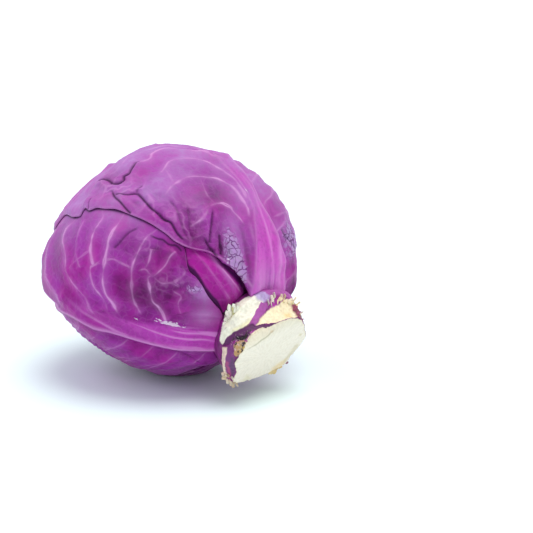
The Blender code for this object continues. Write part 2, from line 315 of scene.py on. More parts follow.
studio = {
    "worldColour": (0.93, 0.965, 1.0),
    "worldStrength": 0.76,
    "floorColour": (0.86, 1.0, 1.0),
    "floorSize": 16.0,
    "floorRoughness": 0.9,
    "lamps": {  # name: (comes from, strength, softness in degrees, colour)
        "overheadLight": ((0.14, 0.10, 1.0), 1.72, 40.0, (1.0, 0.985, 0.96)),
        "leftLight": ((-0.9, -0.50, 0.7), 0.52, 50.0, (0.97, 0.98, 1.0)),
    },
}
world = bpy.data.worlds.new("studio")
world.use_nodes = True
world.node_tree.nodes["Background"].inputs["Color"].default_value = (*studio["worldColour"], 1)
world.node_tree.nodes["Background"].inputs["Strength"].default_value = studio["worldStrength"]
bpy.context.scene.world = world
bpy.context.scene.view_settings.view_transform = "Standard"

for lampName, (comesFrom, strength, softness, colour) in studio["lamps"].items():
    lampData = bpy.data.lights.new(lampName, "SUN")
    lampData.energy, lampData.angle, lampData.color = strength, math.radians(softness), colour
    lamp = bpy.data.objects.new(lampName, lampData)
    lamp.rotation_euler = Vector(comesFrom).to_track_quat("Z", "Y").to_euler()
    bpy.context.scene.collection.objects.link(lamp)

floorMesh = bpy.data.meshes.new("floor")
half = studio["floorSize"] / 2
floorCorners = [(-half, -half, 0), (half, -half, 0), (half, half, 0), (-half, half, 0)]
floorMesh.from_pydata(floorCorners, [], [(0, 1, 2, 3)])
floor = bpy.data.objects.new("floor", floorMesh)
bpy.context.scene.collection.objects.link(floor)
floorFinish = bpy.data.materials.new("floor_paper")
floorFinish.use_nodes = True
floorShader = floorFinish.node_tree.nodes["Principled BSDF"]
floorShader.inputs["Base Color"].default_value = (*studio["floorColour"], 1)
floorShader.inputs["Roughness"].default_value = studio["floorRoughness"]
floorMesh.materials.append(floorFinish)
print("camera, floor and light ready")


# Finishes

# Ranges are (from, to) or (from, to, value at from, value at to) of a noise or an attribute
leafLooks = {
    # deep purple: flecks of tone, and painted shade in hollows
    "deep": (0.100, 0.003, 0.085),
    # lavender of the wax bloom, also a painted sheen on upper sides
    "wax": (0.455, 0.245, 0.555),
    "veinPink": (0.68, 0.31, 0.64),
    # dark purple of the painted shade in creases and along the edges of leaves above
    "paintedShade": (0.048, 0.0025, 0.056),
    "crackle": (0.40, 0.29, 0.47),
    "crackleDark": (0.10, 0.012, 0.12),
    "rubWhite": (0.80, 0.66, 0.80),
    "patchScale": 42.0,
    "patchRange": (0.38, 0.62),
    "mottleScale": 330.0,
    "mottleRoughness": 0.6,
    "bend": (90.0, 0.012),  # scale and strength of what bends the net of fine veins
    "netScale": 175.0,
    "netRange": (0.0, 0.09, 1.0, 0.0),
    "netPatches": (0.35, 0.65, 0.2, 1.0),
    "netStrength": 0.08,
    "hollowMottle": (0.25, 0.75, 0.75, 1.0),
    "flecks": (0.48, 0.72, 0.0, 0.28),
    "waxMottle": (0.3, 0.7, 0.68, 1.0),
    "crackleScale": 240.0,
    "crackRange": (0.0, 0.11),
    "flakeRange": (0.35, 0.65),
    "blisterEdge": (0.2, 0.8, -0.35, 0.35),
    "blisterRange": (0.30, 0.85, 0.0, 0.85),
    "rubEdge": (0.2, 0.8, -0.42, 0.42),
    "rubRange": (0.44, 0.62, 0.0, 0.75),
    "gloss": (0.0, 0.9, 0.36, 0.55),  # roughness without and with wax
    "netBump": (0.25, 0.0002),
    "mottleBump": (0.30, 0.0006),
    "specular": 0.10,
}


class NodeDesk:  # keeps a material's node tree and makes, sets and joins its nodes in one call
    def __init__(self, name):
        self.material = bpy.data.materials.new(name)
        self.material.use_nodes = True
        self.tree = self.material.node_tree
        self.shader = self.tree.nodes["Principled BSDF"]

    def add(self, kind, settings=None, **inputs):
        node = self.tree.nodes.new(kind)
        for label, value in (settings or {}).items():
            setattr(node, label, value)
        for label, value in inputs.items():
            self.feed(node.inputs[label], value)
        return node

    def feed(self, socket, value):
        if isinstance(value, bpy.types.NodeSocket):
            self.tree.links.new(value, socket)
        else:
            socket.default_value = value

    def number(self, label):
        return self.add("ShaderNodeAttribute", {"attribute_name": label}).outputs["Fac"]

    def mix(self, factor, first, second, blend="MIX"):  # sockets 6 and 7 take the colours, output 2 gives one
        node = self.add("ShaderNodeMix", {"data_type": "RGBA", "blend_type": blend})
        self.feed(node.inputs[0], factor)
        for socket, each in ((6, first), (7, second)):
            self.feed(node.inputs[socket], each if isinstance(each, bpy.types.NodeSocket) else (*each, 1))
        return node.outputs[2]

    def noise(self, place, scale, detail, output="Fac", **more):
        node = self.add("ShaderNodeTexNoise", Vector=place, Scale=scale, Detail=detail, **more)
        return node.outputs[output]

    def cells(self, place, scale):  # distance to the nearest wall between cells
        node = self.add("ShaderNodeTexVoronoi", {"feature": "DISTANCE_TO_EDGE"}, Vector=place, Scale=scale)
        return node.outputs["Distance"]

    def ramp(self, value, low, high, toLow=0.0, toHigh=1.0):
        node = self.add("ShaderNodeMapRange", {"interpolation_type": "SMOOTHSTEP"})
        labels = ("Value", "From Min", "From Max", "To Min", "To Max")
        for label, each in zip(labels, (value, low, high, toLow, toHigh)):
            self.feed(node.inputs[label], each)
        return node.outputs["Result"]

    def reckon(self, operation, first, second):
        node = self.add("ShaderNodeMath", {"operation": operation, "use_clamp": operation == "MULTIPLY"})
        self.feed(node.inputs[0], first)
        self.feed(node.inputs[1], second)
        return node.outputs[0]

    def bump(self, height, strength, distance, normal=None):
        node = self.add("ShaderNodeBump", Height=height, Strength=strength, Distance=distance)
        if normal is not None:
            self.feed(node.inputs["Normal"], normal)
        return node.outputs["Normal"]


# Leaf skin: magenta to violet in broad patches, deep purple as tone and as painted shade in hollows, a net
# of fine veins, wax bloom with a painted sheen on upper sides, pale veins and painted highlights on ribs,
# flaky blisters, rubbed white streaks, and painted shade in creases and along the edges of leaves above,
# each from its attribute times a mottle
def leafFinish(name, tint):
    looks, desk = leafLooks, NodeDesk(name)
    place = desk.add("ShaderNodeTexCoord").outputs["Object"]
    patches = desk.noise(place, looks["patchScale"], 4.0)
    mottle = desk.noise(place, looks["mottleScale"], 5.0, Roughness=looks["mottleRoughness"])
    bendScale, bendShare = looks["bend"]
    netPlace = desk.mix(bendShare, place, desk.noise(place, bendScale, 2.0, "Color"), "ADD")
    netLine = desk.ramp(desk.cells(netPlace, looks["netScale"]), *looks["netRange"])

    skin = desk.mix(desk.ramp(patches, *looks["patchRange"]), tint["magenta"], tint["violet"])
    skin = desk.mix(desk.number("rib"), skin, tint["rib"])
    # Painted shade: deep purple in hollows, fold valleys and beside the edges of leaves above, with deep tone
    hollow = desk.reckon("MULTIPLY", desk.number("deep"), desk.ramp(mottle, *looks["hollowMottle"]))
    skin = desk.mix(hollow, skin, looks["deep"])
    netShare = desk.reckon("MULTIPLY", netLine, desk.ramp(patches, *looks["netPatches"]))
    skin = desk.mix(desk.reckon("MULTIPLY", netShare, looks["netStrength"]), skin, looks["veinPink"])
    skin = desk.mix(desk.ramp(mottle, *looks["flecks"]), skin, looks["deep"])
    # Wax bloom, with a painted sheen on upper sides
    wax = desk.reckon("MULTIPLY", desk.number("wax"), desk.ramp(mottle, *looks["waxMottle"]))
    skin = desk.mix(wax, skin, looks["wax"])
    # Pale veins and rims, and painted highlights on ribs
    skin = desk.mix(desk.number("vein"), skin, looks["veinPink"])
    ragged = desk.reckon("ADD", desk.number("blister"), desk.ramp(mottle, *looks["blisterEdge"]))
    crack = desk.ramp(desk.cells(netPlace, looks["crackleScale"]), *looks["crackRange"])
    flakes = desk.mix(desk.ramp(mottle, *looks["flakeRange"]), looks["crackle"], looks["wax"])
    flakes = desk.mix(crack, looks["crackleDark"], flakes)
    skin = desk.mix(desk.ramp(ragged, *looks["blisterRange"]), skin, flakes)
    rub = desk.reckon("ADD", desk.number("rub"), desk.ramp(mottle, *looks["rubEdge"]))
    skin = desk.mix(desk.ramp(rub, *looks["rubRange"]), skin, looks["rubWhite"])
    # Painted shade in creases, in gaps and along the edges of leaves above
    skin = desk.mix(desk.number("crease"), skin, looks["paintedShade"])
    desk.feed(desk.shader.inputs["Base Color"], skin)

    desk.feed(desk.shader.inputs["Roughness"], desk.ramp(wax, *looks["gloss"]))
    normal = desk.bump(netLine, *looks["netBump"])
    desk.feed(desk.shader.inputs["Normal"], desk.bump(mottle, *looks["mottleBump"], normal))
    desk.shader.inputs["Specular IOR Level"].default_value = looks["specular"]
    return desk.material


# Leaves

# Each leaf. Angles are degrees: azimuth is turned about the stem, 0 on the floor side and -90 on the
# -Y side; lines are (a, b), a along the leaf from the stem, b across it. under: the leaves beneath it.
# Veins are (height in mm, paleness, line) and creases (depth in mm, width in mm, line), each crease with
# a line of painted shade. Patches are, for each kind, (a, b, reach a, reach b, strength): deep is deep
# purple as tone and as painted shade, dark is painted shade, wax, rub and blister are colours, pale is vein
# pink laid along ribs as painted highlight, swell is a height in mm, and crumple is a net of small folds
# with painted shade in its valleys and painted highlight on its crests. bloomAndSheen is the wax bloom with
# a painted sheen on its upper side, streaks the pale lines on its rib, baseBlend how fast its base widens
# to its edges, lipFrom where its edge starts to lie down, tatter (from a, to a, depth) a torn part of its
# edge. drawnVeins (to a, past the rib, from b) is the part whose veins are drawn, and veins ruleSpacing
# degrees apart fill the rest.
leafDefaults = {
    "layersBelow": 0, "ribCrest": (0.0, 0.0), "crestWidth": 1.2, "under": (), "ruleSpacing": 13,
    "drawnVeins": (-180, 180, -180), "veins": (), "creases": (), "patches": {}, "bloomAndSheen": 0.75, "streaks": 1.0,
    "baseBlend": 6, "lipFrom": -180, "tatter": (0, 0, 0),
}
leafPlans = {}

leafPlans["inner_leaf_front"] = leafDefaults | {
    "azimuth": -147, "baseSpread": (24, 24), "tip": 118, "tipRound": 26, "layersBelow": 1,
    "ribHeight": 0.0036, "ribMinus": ((15, -6.5), (29, -8), (38, -7), (50, -4), (118, -3)),
    "ribPlus": ((15, 4.5), (29, 5), (45, 5.5), (60, 4), (118, 3)), "ribSoft": (3.2, 5),
    "minusEdge": ((18, 8), (30, 12), (45, 24), (62, 40), (90, 48), (118, 40)),
    "plusEdge": ((18, 8), (30, 12), (45, 24), (62, 40), (90, 46), (118, 38)), "rows": 180,
    "columns": (72, 72),
    "veins": (
        (0.3, 0.3, ((62, 0.5), (50, 1.0), (38, 0.5), (28, 0), (20, 0))),
        # this low ridge is painted pale as a highlight along the rib's shoulder
        (0.3, 0.85, ((50, -3.2), (44, -4.4), (38, -4.8), (32, -5.6), (26, -7.0), (20, -7.6))),
    ),
    "creases": (
        # a dip with a wide dark line: painted shadow in the gap under the edge of the leaf above
        (1.0, 3.6, ((50, -5.8), (44, -6.6), (37, -7.4), (31, -9.0), (25, -10.6), (19, -11.4), (15, -11.4))),
    ),
    "patches": {
        # the deep and dark patches are painted shade, most of it shadow in the gaps under the leaves above
        "deep": ((24, 9, 14, 4, 0.5), (22, -14, 14, 5, 1.0), (38, -13, 16, 5, 1.0), (24, 2, 9, 7, 0.45)),
        "dark": ((26, -15.5, 14, 5, 1.0),), "wax": ((36, -4.2, 12, 1.4, 0.45),),
    },
    "bloomAndSheen": 0.1, "streaks": 0.4,
    "tint": {"magenta": (0.37, 0.008, 0.275), "violet": (0.31, 0.008, 0.24), "rib": (0.42, 0.014, 0.31)},
}

leafPlans["inner_leaf_back"] = leafDefaults | {
    "azimuth": 102, "baseSpread": (24, 24), "tip": 120, "tipRound": 26, "layersBelow": 1, "ribHeight": 0.0028,
    "ribMinus": ((15, -6), (40, -5), (80, -4), (120, -3)), "ribPlus": ((15, 6), (40, 5), (80, 4), (120, 3)),
    "ribSoft": (5, 5), "ribCrest": (0.0004, 0.0004),
    "minusEdge": ((18, 8), (30, 13), (45, 27), (62, 42), (90, 48), (120, 38)),
    "plusEdge": ((18, 8), (30, 12), (45, 25), (62, 40), (90, 46), (120, 38)), "rows": 160,
    "columns": (60, 60), "patches": {"wax": ((60, 18, 26, 14, 0.35),), "swell": ((35, 3, 10, 9, 3.4),)},
    "bloomAndSheen": 0.4,
    "tint": {"magenta": (0.34, 0.016, 0.27), "violet": (0.3, 0.03, 0.29), "rib": (0.42, 0.045, 0.36)},
}

leafPlans["inner_leaf_under"] = leafDefaults | {
    "azimuth": -30, "baseSpread": (26, 26), "tip": 116, "tipRound": 26, "layersBelow": 1, "ribHeight": 0.0022,
    "ribMinus": ((15, -5.5), (40, -5), (80, -4), (116, -3)),
    "ribPlus": ((15, 5.5), (40, 5), (80, 4), (116, 3)), "ribSoft": (5, 5), "ribCrest": (0.0003, 0.0003),
    "minusEdge": ((18, 8), (30, 12), (45, 22), (62, 36), (90, 44), (116, 36)),
    "plusEdge": ((18, 8), (30, 12), (45, 22), (62, 36), (90, 44), (116, 36)), "rows": 140,
    "columns": (52, 52),
    "tint": {"magenta": (0.32, 0.04, 0.28), "violet": (0.29, 0.06, 0.32), "rib": (0.4, 0.08, 0.37)},
}

leafPlans["wrapper_leaf_under"] = leafDefaults | {
    "azimuth": 34, "baseSpread": (58, 38), "tip": 168, "tipRound": 30, "ribHeight": 0.0036,
    "ribMinus": ((15, -8), (40, -6.5), (80, -5), (168, -3)),
    "ribPlus": ((15, 8), (40, 6.5), (80, 5), (168, 3)), "ribSoft": (5, 5), "ribCrest": (0.0005, 0.0005),
    "minusEdge": ((16, 18), (26, 26), (36, 34), (46, 44), (60, 54), (85, 66), (115, 68), (145, 58),
        (168, 46)),
    "plusEdge": ((18, 11), (26, 14), (36, 22), (46, 36), (60, 50), (85, 64), (115, 68), (145, 58), (168, 46)),
    "under": ("inner_leaf_front", "inner_leaf_back", "inner_leaf_under"), "rows": 280, "columns": (112, 112),
    "ruleSpacing": 14, "patches": {"wax": ((80, 40, 40, 22, 0.3),)},
    "tint": {"magenta": (0.225, 0.02, 0.175), "violet": (0.2, 0.034, 0.19), "rib": (0.33, 0.068, 0.29)},
}

leafPlans["wrapper_leaf_front"] = leafDefaults | {
    "azimuth": -88, "baseSpread": (42, 62), "tip": 170, "tipRound": 28, "ribHeight": 0.0034,
    "ribMinus": ((14, -7.3), (21.6, -7.1), (35, -7.1), (48, -5.5), (56.5, -2.9), (67, -0.6), (79.4, 2.9),
        (91, 7.1), (106, 10.8), (170, 5.3)),
    "ribPlus": ((14, 2.3), (20.4, 4), (28, 4.7), (35.5, 4.8), (43.4, 4.9), (51, 5.8), (59, 7.1), (70.5, 10.2),
        (83.4, 12.8), (98.4, 18.8), (123, 20.4), (168, 10.4)),
    "ribSoft": (6, 5), "ribCrest": (0.0, 0.0009), "crestWidth": 1.1,
    "minusEdge": ((15, 14), (16, 15.5), (18.5, 19.5), (22.5, 23), (27, 27), (30, 30.5), (33.5, 33.5),
        (39, 37), (42, 43), (50, 51), (62, 58), (85, 62), (115, 60), (145, 52), (170, 42)),
    "plusEdge": ((16, 19), (25, 26), (33, 32), (42, 40), (52, 50), (65, 58), (85, 64), (115, 64), (145, 56),
        (170, 44)),
    "under": ("inner_leaf_front", "inner_leaf_back", "inner_leaf_under", "wrapper_leaf_under"), "rows": 352,
    "columns": (168, 84), "drawnVeins": (116, 8, -180),
    "veins": (
        (0.75, 0.75, ((119, -30), (116, -22), (116, -18), (114, -15), (110, -12), (104, -10.5), (97, -5),
            (91.5, -3), (85, -2), (79.5, -0.5), (73, 4))),
        (0.6, 0.5, ((128, -16), (124, -6), (121, -0.5), (116, 4), (110.5, 9), (100.5, 9.5), (94, 12))),
        (0.75, 0.95, ((105, -46), (102, -38), (98, -36.5), (95.5, -32.5), (93.5, -28), (91, -24.5), (89, -22),
            (85, -19), (83, -18))),
        (0.55, 0.6, ((80, -22.5), (83, -18), (84, -16), (82, -13), (78, -9.5), (73.5, -7.5), (68, -2))),
        (0.8, 1.0, ((92, -52), (88.5, -44.5), (87, -41.5), (85.5, -38), (84.5, -34), (83.5, -31),
            (81.5, -27.5), (79.5, -23), (77.5, -19), (75, -14), (71.5, -10), (68, -7.5), (63, -3))),
        (0.4, 0.35, ((107, -29), (104, -24.5), (99, -19), (94, -15), (89, -12))),
        (0.7, 0.75, ((61, -50), (63.5, -46), (66, -41.5), (66, -33), (65, -26.5), (62, -20), (58.5, -13.5),
            (53, -7))),
        (0.6, 0.7, ((54.5, -27), (56, -25.5), (53.5, -21.5), (50.5, -16.5), (46.5, -14), (41, -8))),
        (0.45, 0.6, ((62.5, -26), (59, -28.5), (54.5, -27), (52, -30), (50, -33.5), (49, -38), (46.5, -41))),
        (0.3, 0.45, ((59, -28.5), (59, -33), (60.5, -38))),
        (0.4, 0.6, ((44, -27), (40.5, -30.5), (39, -33.5))),
        (0.35, 0.55, ((43, -23.5), (38.5, -22), (39, -18.5), (36, -13))),
        (0.35, 0.55, ((34.5, -23.5), (32.5, -27.5), (30.5, -31))),
        (0.3, 0.35, ((54.5, -27), (49, -25.5), (44, -27), (40, -26))),
        (0.25, 0.35, ((79.5, -23), (76, -25.5), (71, -26), (65, -26.5))),
        (0.25, 0.3, ((97, -5), (94, -12), (91, -19), (89, -22))),
    ),
    "creases": (
        (0.9, 1.1, ((66, -43), (60, -43), (56.5, -43.5), (52, -42.5), (47.5, -43), (43, -41))),
        (0.5, 1.5, ((73.5, -44), (77, -39), (78, -34), (79, -29))),
        (0.35, 1.0, ((37, 9.5), (29, 9.5), (17.5, 15))),
    ),
    "patches": {
        "deep": ((52, -30, 18, 13, 0.28), (46, -23, 13, 7, 0.85), (56, -16, 12, 6, 0.75),
            (62, 3, 18, 3, 0.25), (52, -37, 7, 4, 0.6), (66, -20, 6, 4, 0.5), (44, -13, 6, 3, 0.6),
            (70, -33, 10, 8, 0.4), (58, 20, 26, 5, 0.3), (115, -9, 10, 9, 0.25), (44, 12, 30, 3, 0.25),
            (46, 37, 26, 11, 0.5)),
        "wax": ((26, -25, 7, 5, 0.75), (25, -14, 7, 4, 0.55), (98, -48, 22, 9, 0.5), (82, -47, 9, 7, 0.3),
            (94, -38, 20, 10, 0.28), (120, -10, 14, 26, 0.35)),
        "rub": ((61.5, -9.9, 6.5, 0.6, 1.3), (55, -5.4, 5.0, 0.55, 1.0), (44, -8.9, 8.0, 0.5, 1.0),
            (40, -7.9, 7.0, 0.55, 1.0), (31, -21, 2.0, 0.8, 0.55)),
        # the first pale patch is a painted highlight along the rib's crest
        "blister": ((33, -26, 5, 2.2, 0.8),), "pale": ((52, 6.4, 26, 0.8, 0.75), (24, -14, 6, 4, 0.3)),
        "swell": ((114, 19, 7, 6, 1.6), (107, 31, 8, 7, -1.4)),
        "crumple": ((64, -42, 8, 8, 0.9), (45, -27, 12, 6, 0.6)),
    },
    "bloomAndSheen": 0.62,
    "tint": {"magenta": (0.365, 0.012, 0.285), "violet": (0.325, 0.028, 0.325), "rib": (0.5, 0.055, 0.43)},
}

leafPlans["wrapper_leaf_top"] = leafDefaults | {
    "azimuth": 170, "baseSpread": (64, 20), "tip": 210, "tipRound": 22, "ribHeight": 0.0034,
    "ribMinus": ((14, -13), (25, -14.6), (36.6, -15.3), (43.2, -13), (48.8, -11.4), (55, -10.1), (61, -7.9),
        (72.6, -8.2), (85.5, -8.2), (108.5, -6.7), (158.5, -1.7), (210, -0.7)),
    "ribPlus": ((14, 8.3), (24, 7.7), (33, 6), (48, 3.3), (64.3, 0.9), (78.4, 0.9), (111, -0.4), (160, 2.2),
        (210, 2.2)),
    "ribSoft": (5, 6), "ribCrest": (0.0006, 0.0003),
    "minusEdge": ((10, 20), (14, 24), (20, 29.5), (26, 34), (32, 36.5), (40, 37), (46, 37.5), (52, 40),
        (60, 45), (70, 53), (82, 63), (102, 69), (126, 68), (152, 60), (180, 52), (210, 40)),
    "plusEdge": ((18, 6.5), (21, 6.2), (23.5, 6.4), (26.5, 8.2), (30, 10.6), (33.5, 14), (37.5, 20),
        (40.5, 24), (43, 28), (46, 36), (50, 41), (57, 45), (65, 49), (77, 54), (88, 57), (100, 59.5),
        (111, 61.2), (120, 62), (128, 63), (136, 61.5), (146, 63.2), (158, 61), (167, 55.5), (176, 48),
        (181, 46), (190, 46), (210, 42)),
    "tatter": (27, 47, 1.1), "lipFrom": 42, "bloomAndSheen": 1.0, "baseBlend": 14,
    "under": ("inner_leaf_front", "inner_leaf_back", "inner_leaf_under", "wrapper_leaf_under",
        "wrapper_leaf_front"),
    "rows": 372, "columns": (72, 168), "drawnVeins": (150, 180, -15),
    "veins": (
        (0.7, 0.7, ((116, 38), (110.5, 27.5), (113, 22.5), (112.5, 18), (110, 14), (106.5, 11), (103, 6),
            (99.5, 2.5), (93, 1.5), (88.5, -3))),
        (0.7, 0.75, ((96, 33), (98.5, 27), (100.5, 22.5), (99, 17.5), (97, 13.5), (94.5, 9.5), (90.5, 6),
            (83.5, 4.5), (77.5, 3), (72, 2.5), (64, 2))),
        (0.75, 0.9, ((79, 40), (82, 35), (84, 31), (85, 26.5), (85, 22), (83.5, 18), (81.5, 14), (79, 9.5),
            (75, 6.5), (71, 5), (66.5, 4.5), (62.5, 4), (56, 4))),
        (0.6, 0.75, ((57, 35), (58.5, 31.5), (60, 27.5), (62.5, 24.5), (65, 22), (66, 18.5), (65.5, 14.5),
            (63, 11.5), (60, 10.5), (53, 6))),
        (0.45, 0.45, ((124, 46), (121, 36), (124, 27), (123, 19), (119, 12), (113, 6), (107, 2))),
        (0.4, 0.4, ((150, 52), (144, 40), (143, 28), (140, 17), (134, 8), (127, 3))),
        (0.45, 0.55, ((57.5, -16), (59, -21), (61, -29), (63.5, -36), (68, -46))),
        (0.3, 0.4, ((111.5, 61.5), (105, 60.5), (95.5, 59.5), (89, 57.5))),
        (0.25, 0.3, ((98.5, 27), (93, 28.5), (88, 30), (84, 31))),
        (0.25, 0.3, ((84, 17), (77, 19), (71, 20), (66, 18.5))),
    ),
    "creases": (
        (1.0, 1.0, ((113, 51.5), (108, 53.5), (103.5, 54.5), (96, 55), (88, 55.5), (82, 55.2))),
        (1.0, 1.2, ((94, 47.5), (92.5, 47), (88, 47), (81.5, 47), (76, 46.5), (70.5, 45), (66, 44), (63, 42),
            (61, 41.5), (57, 41), (53.5, 40), (49, 38))),
        (1.0, 1.2, ((137, 45.5), (134, 45), (127.5, 45), (121.5, 46.5), (116, 48), (112, 47), (110.5, 44.5),
            (112.5, 42.5), (111, 40), (112, 38), (113.5, 33.5), (113, 30))),
        (0.7, 1.0, ((107, 52.7), (104, 52.5), (97.5, 50.5), (94, 48), (92, 47))),
        (0.5, 0.9, ((95.5, 42), (94.5, 45.5), (93, 47))),
        (0.8, 0.9, ((39, -30), (42, -26), (47, -22), (52, -19))),
        (0.8, 1.3, ((51, 29), (47, 28), (45.5, 27.5), (42.5, 26), (40.5, 24.5))),
        (0.7, 1.3, ((64.5, 20.5), (57, 23.5), (50.5, 26), (47, 27))),
        (0.9, 0.9, ((51, 21), (49, 21.5), (45, 22), (40.5, 22.5))),
        (0.5, 0.8, ((132, 62.5), (129.5, 62), (131, 59), (130, 56.5))),
        (0.4, 1.6, ((78, 38), (70, 37), (62, 37.5), (55, 37.5), (49, 36))),
        (0.35, 1.6, ((70, 31), (63, 33), (56, 34.5), (49, 34))),
    ),
    "patches": {
        "deep": ((71, 17, 12, 9, 0.85), (52, 33, 10, 6, 0.65), (66, 33, 14, 5, 0.4), (92, 22, 10, 9, 0.2),
            (46, 21, 10, 3, 0.5), (25, -25, 14, 4.5, 0.8), (62, -22, 12, 7, 0.35), (40, 8.8, 12, 1.0, 0.6),
            (121, 44, 8, 8, 0.38), (88, 4, 7, 5, 0.2), (84, 12, 8, 6, 0.3), (104, 36, 10, 5, 0.3)),
        "wax": ((44, 14, 12, 5, 0.8), (22, -3, 12, 10, 0.75), (152, 48, 14, 12, 0.6), (50, -27, 8, 9, 0.6),
            (130, 30, 34, 24, 0.5), (118, 55, 24, 8, 0.5), (100, 5, 30, 14, 0.35), (90, -25, 40, 18, 0.35),
            (170, 20, 30, 40, 0.45)),
        "blister": ((42, 16, 11, 4.4, 1.2), (31, 12.5, 9, 2.8, 1.2), (47, -25, 10, 6, 1.1)),
        "rub": ((69, 0.5, 5, 0.5, 0.7), (37, 19, 5, 1.4, 0.42)),
        "swell": ((21, -28, 12, 9, 5.6), (46, -31, 15, 9, 2.0), (54, 14, 14, 5, -0.8), (97, -9, 7, 6, 2.4),
            (118, -6, 8, 8, -1.0)),
        # the pale patches on the rib are painted highlights
        "pale": ((26, -1, 11, 6, 0.5), (38, -12.5, 20, 1.6, 0.55), (47, 4.4, 6, 0.9, 0.8)),
        "crumple": ((108, 50, 26, 8, 1.0), (60, 34, 12, 10, 0.8), (80, 45, 20, 6, 0.9)),
    },
    "tint": {"magenta": (0.41, 0.018, 0.325), "violet": (0.365, 0.038, 0.36), "rib": (0.62, 0.078, 0.51)},
}


# Rows of four numbers are noises: (strength, spacing, seed, octaves)
relief = {
    "veinBroad": 0.0032,  # half width of the swelling under a vein
    "veinHeight": 0.0013,
    "veinCore": 0.0005,
    "coreHeight": 0.00020,
    "paleWidth": 0.00055,
    "hollow": 0.0008,  # how far panels sink between veins
    "hollowReach": 0.0080,
    "hollowFrom": 10,
    "pleatSwell": 0.0009,  # swelling beside a crease
    "pleatReach": 0.00238,
    "wander": (0.0012, 0.006, 25, 2),
    "waver": (1.5, 0.007, 29, 2),
    "waverRange": (0.25, 1.3),
    "veinLook": (0.4, 0.6, 0.5, 0.22, 5),  # least core, least width, more with height, halo, its width
    "ruleHalo": (0.15, 0.0025),
    "roll": (0.0011, 0.024, 1, 2),
    "ripple": (0.0004, 0.0085, 5, 2),
    "pucker": (0.00022, 0.0026, 9, 2),
    "blister": (2.2, 0.0036, 13, 2),
    "blisterHeight": 0.0011,
    "blisterLevel": 0.7,
    "crumple": (4.5, 0.0100, 19, 3),
    "crumpleHeight": 0.0010,
    "crumpleLevel": 0.4,
    "mottle": (1.0, 0.016, 17, 3),
    "grainHeight": 0.0004,
    "deepest": -0.0007,
    "finest": -0.0008,
    "veinReach": 0.016,  # veins and creases are looked for within these distances
    "creaseReach": 0.014,
    "veinEnds": (0.12, 0.06),  # shares of its length over which a line tapers
    "creaseEnds": (0.15, 0.08),
    "creaseDepth": 0.0012,
    "creaseWidth": 0.0006,
    "shadeLineWidth": (0.00040, 0.00018),  # of the painted shade line in a crease, and more of it with its depth
    "pleatAway": 0.0032,
    "ruleHeights": (0.00032, 0.7, 0.42),  # of veins by rule: swelling, share of the core, paleness
    "drawnFades": (14, 6, 8, 6),
    "base": 0.0006,  # relief is measured from this much above the bare leaf
    "lip": (-0.0009, 2.6, 12),  # an edge lies down this far within these degrees
    "edgeLeast": 0.25,
    "coveredLeast": 0.05,
    "edgeFade": 6.0,  # relief sinks to nothing over these degrees towards an edge
    "edgeWave": (0.22, 9),  # degrees and count of waves along edges
    "tatter": (4, 0.75),  # a torn edge sets in over so many degrees, about this level of its teeth
    "teeth": ((1.0, 0.55, 3, 35), (0.5, 1.2, 0, 36)),
    "veinSweep": 0.7,
}


# Directions of a leaf's points from u (stem to tip) and v (side to side): rows start on the stem's neck
# and bend towards the tip as side veins do, a = base + run u + (sideRun - run u) v^2, b = v edge(a)
def leafGrid(plan, u, v):
    u, v = np.meshgrid(u, v, indexing="ij")
    base = neckDegrees(plan["azimuth"]) + head["leafClear"]
    run = plan["tip"] - base
    sweep = relief["veinSweep"]
    sideRun = (run - plan["tipRound"]) * (sweep * (1 - (1 - u) ** 2) + (1 - sweep) * u)
    a = base + run * u + (sideRun - run * u) * v**2
    size, count = relief["edgeWave"]
    wave = size * np.sin(2 * math.pi * count * u + plan["azimuth"]) * np.sin(math.pi * u)
    fromA, toA, depth = plan["tatter"]
    over, level = relief["tatter"]
    torn = depth * rise(a, fromA, over) * rise(-a, -toA, over) * (v > 0)
    teeth = sum(weight * latticeNoise(np.stack([a * scale, 0 * a, 0 * a + place], -1), 1.0, seed)
                for weight, scale, place, seed in relief["teeth"])
    wave = wave - torn * (teeth - level)
    b = v * (edgeAt(plan, a, v) + (wave - size) * smoothStep((np.abs(v) - 0.5) * 2))
    azimuth = plan["azimuth"] + v * np.where(v < 0, *plan["baseSpread"])
    baseA, baseB = toLeaf(plan, fromPolar(neckDegrees(azimuth) + head["leafClear"], azimuth))
    start = (1 - u) ** plan["baseBlend"]
    return fromLeaf(plan, a + (baseA - base) * start, b + (baseB - b[:1]) * start)


ruleForm = {
    "slant": (0.42, 0.0035),
    "sideShift": 0.4,
    "sway": (0.06, 5.0),
    "bend": (0.35, 22.0, 37, 3),
    "fork": (15, 20, 3),  # a fork starts here, is half-way after so many degrees, and shows over so many
    "own": (0.16, 12.9, 4.0),
    "narrow": 0.88,
    "none": 9.0,
    "taper": (2, 4),
    "edgeTaper": 8,
}


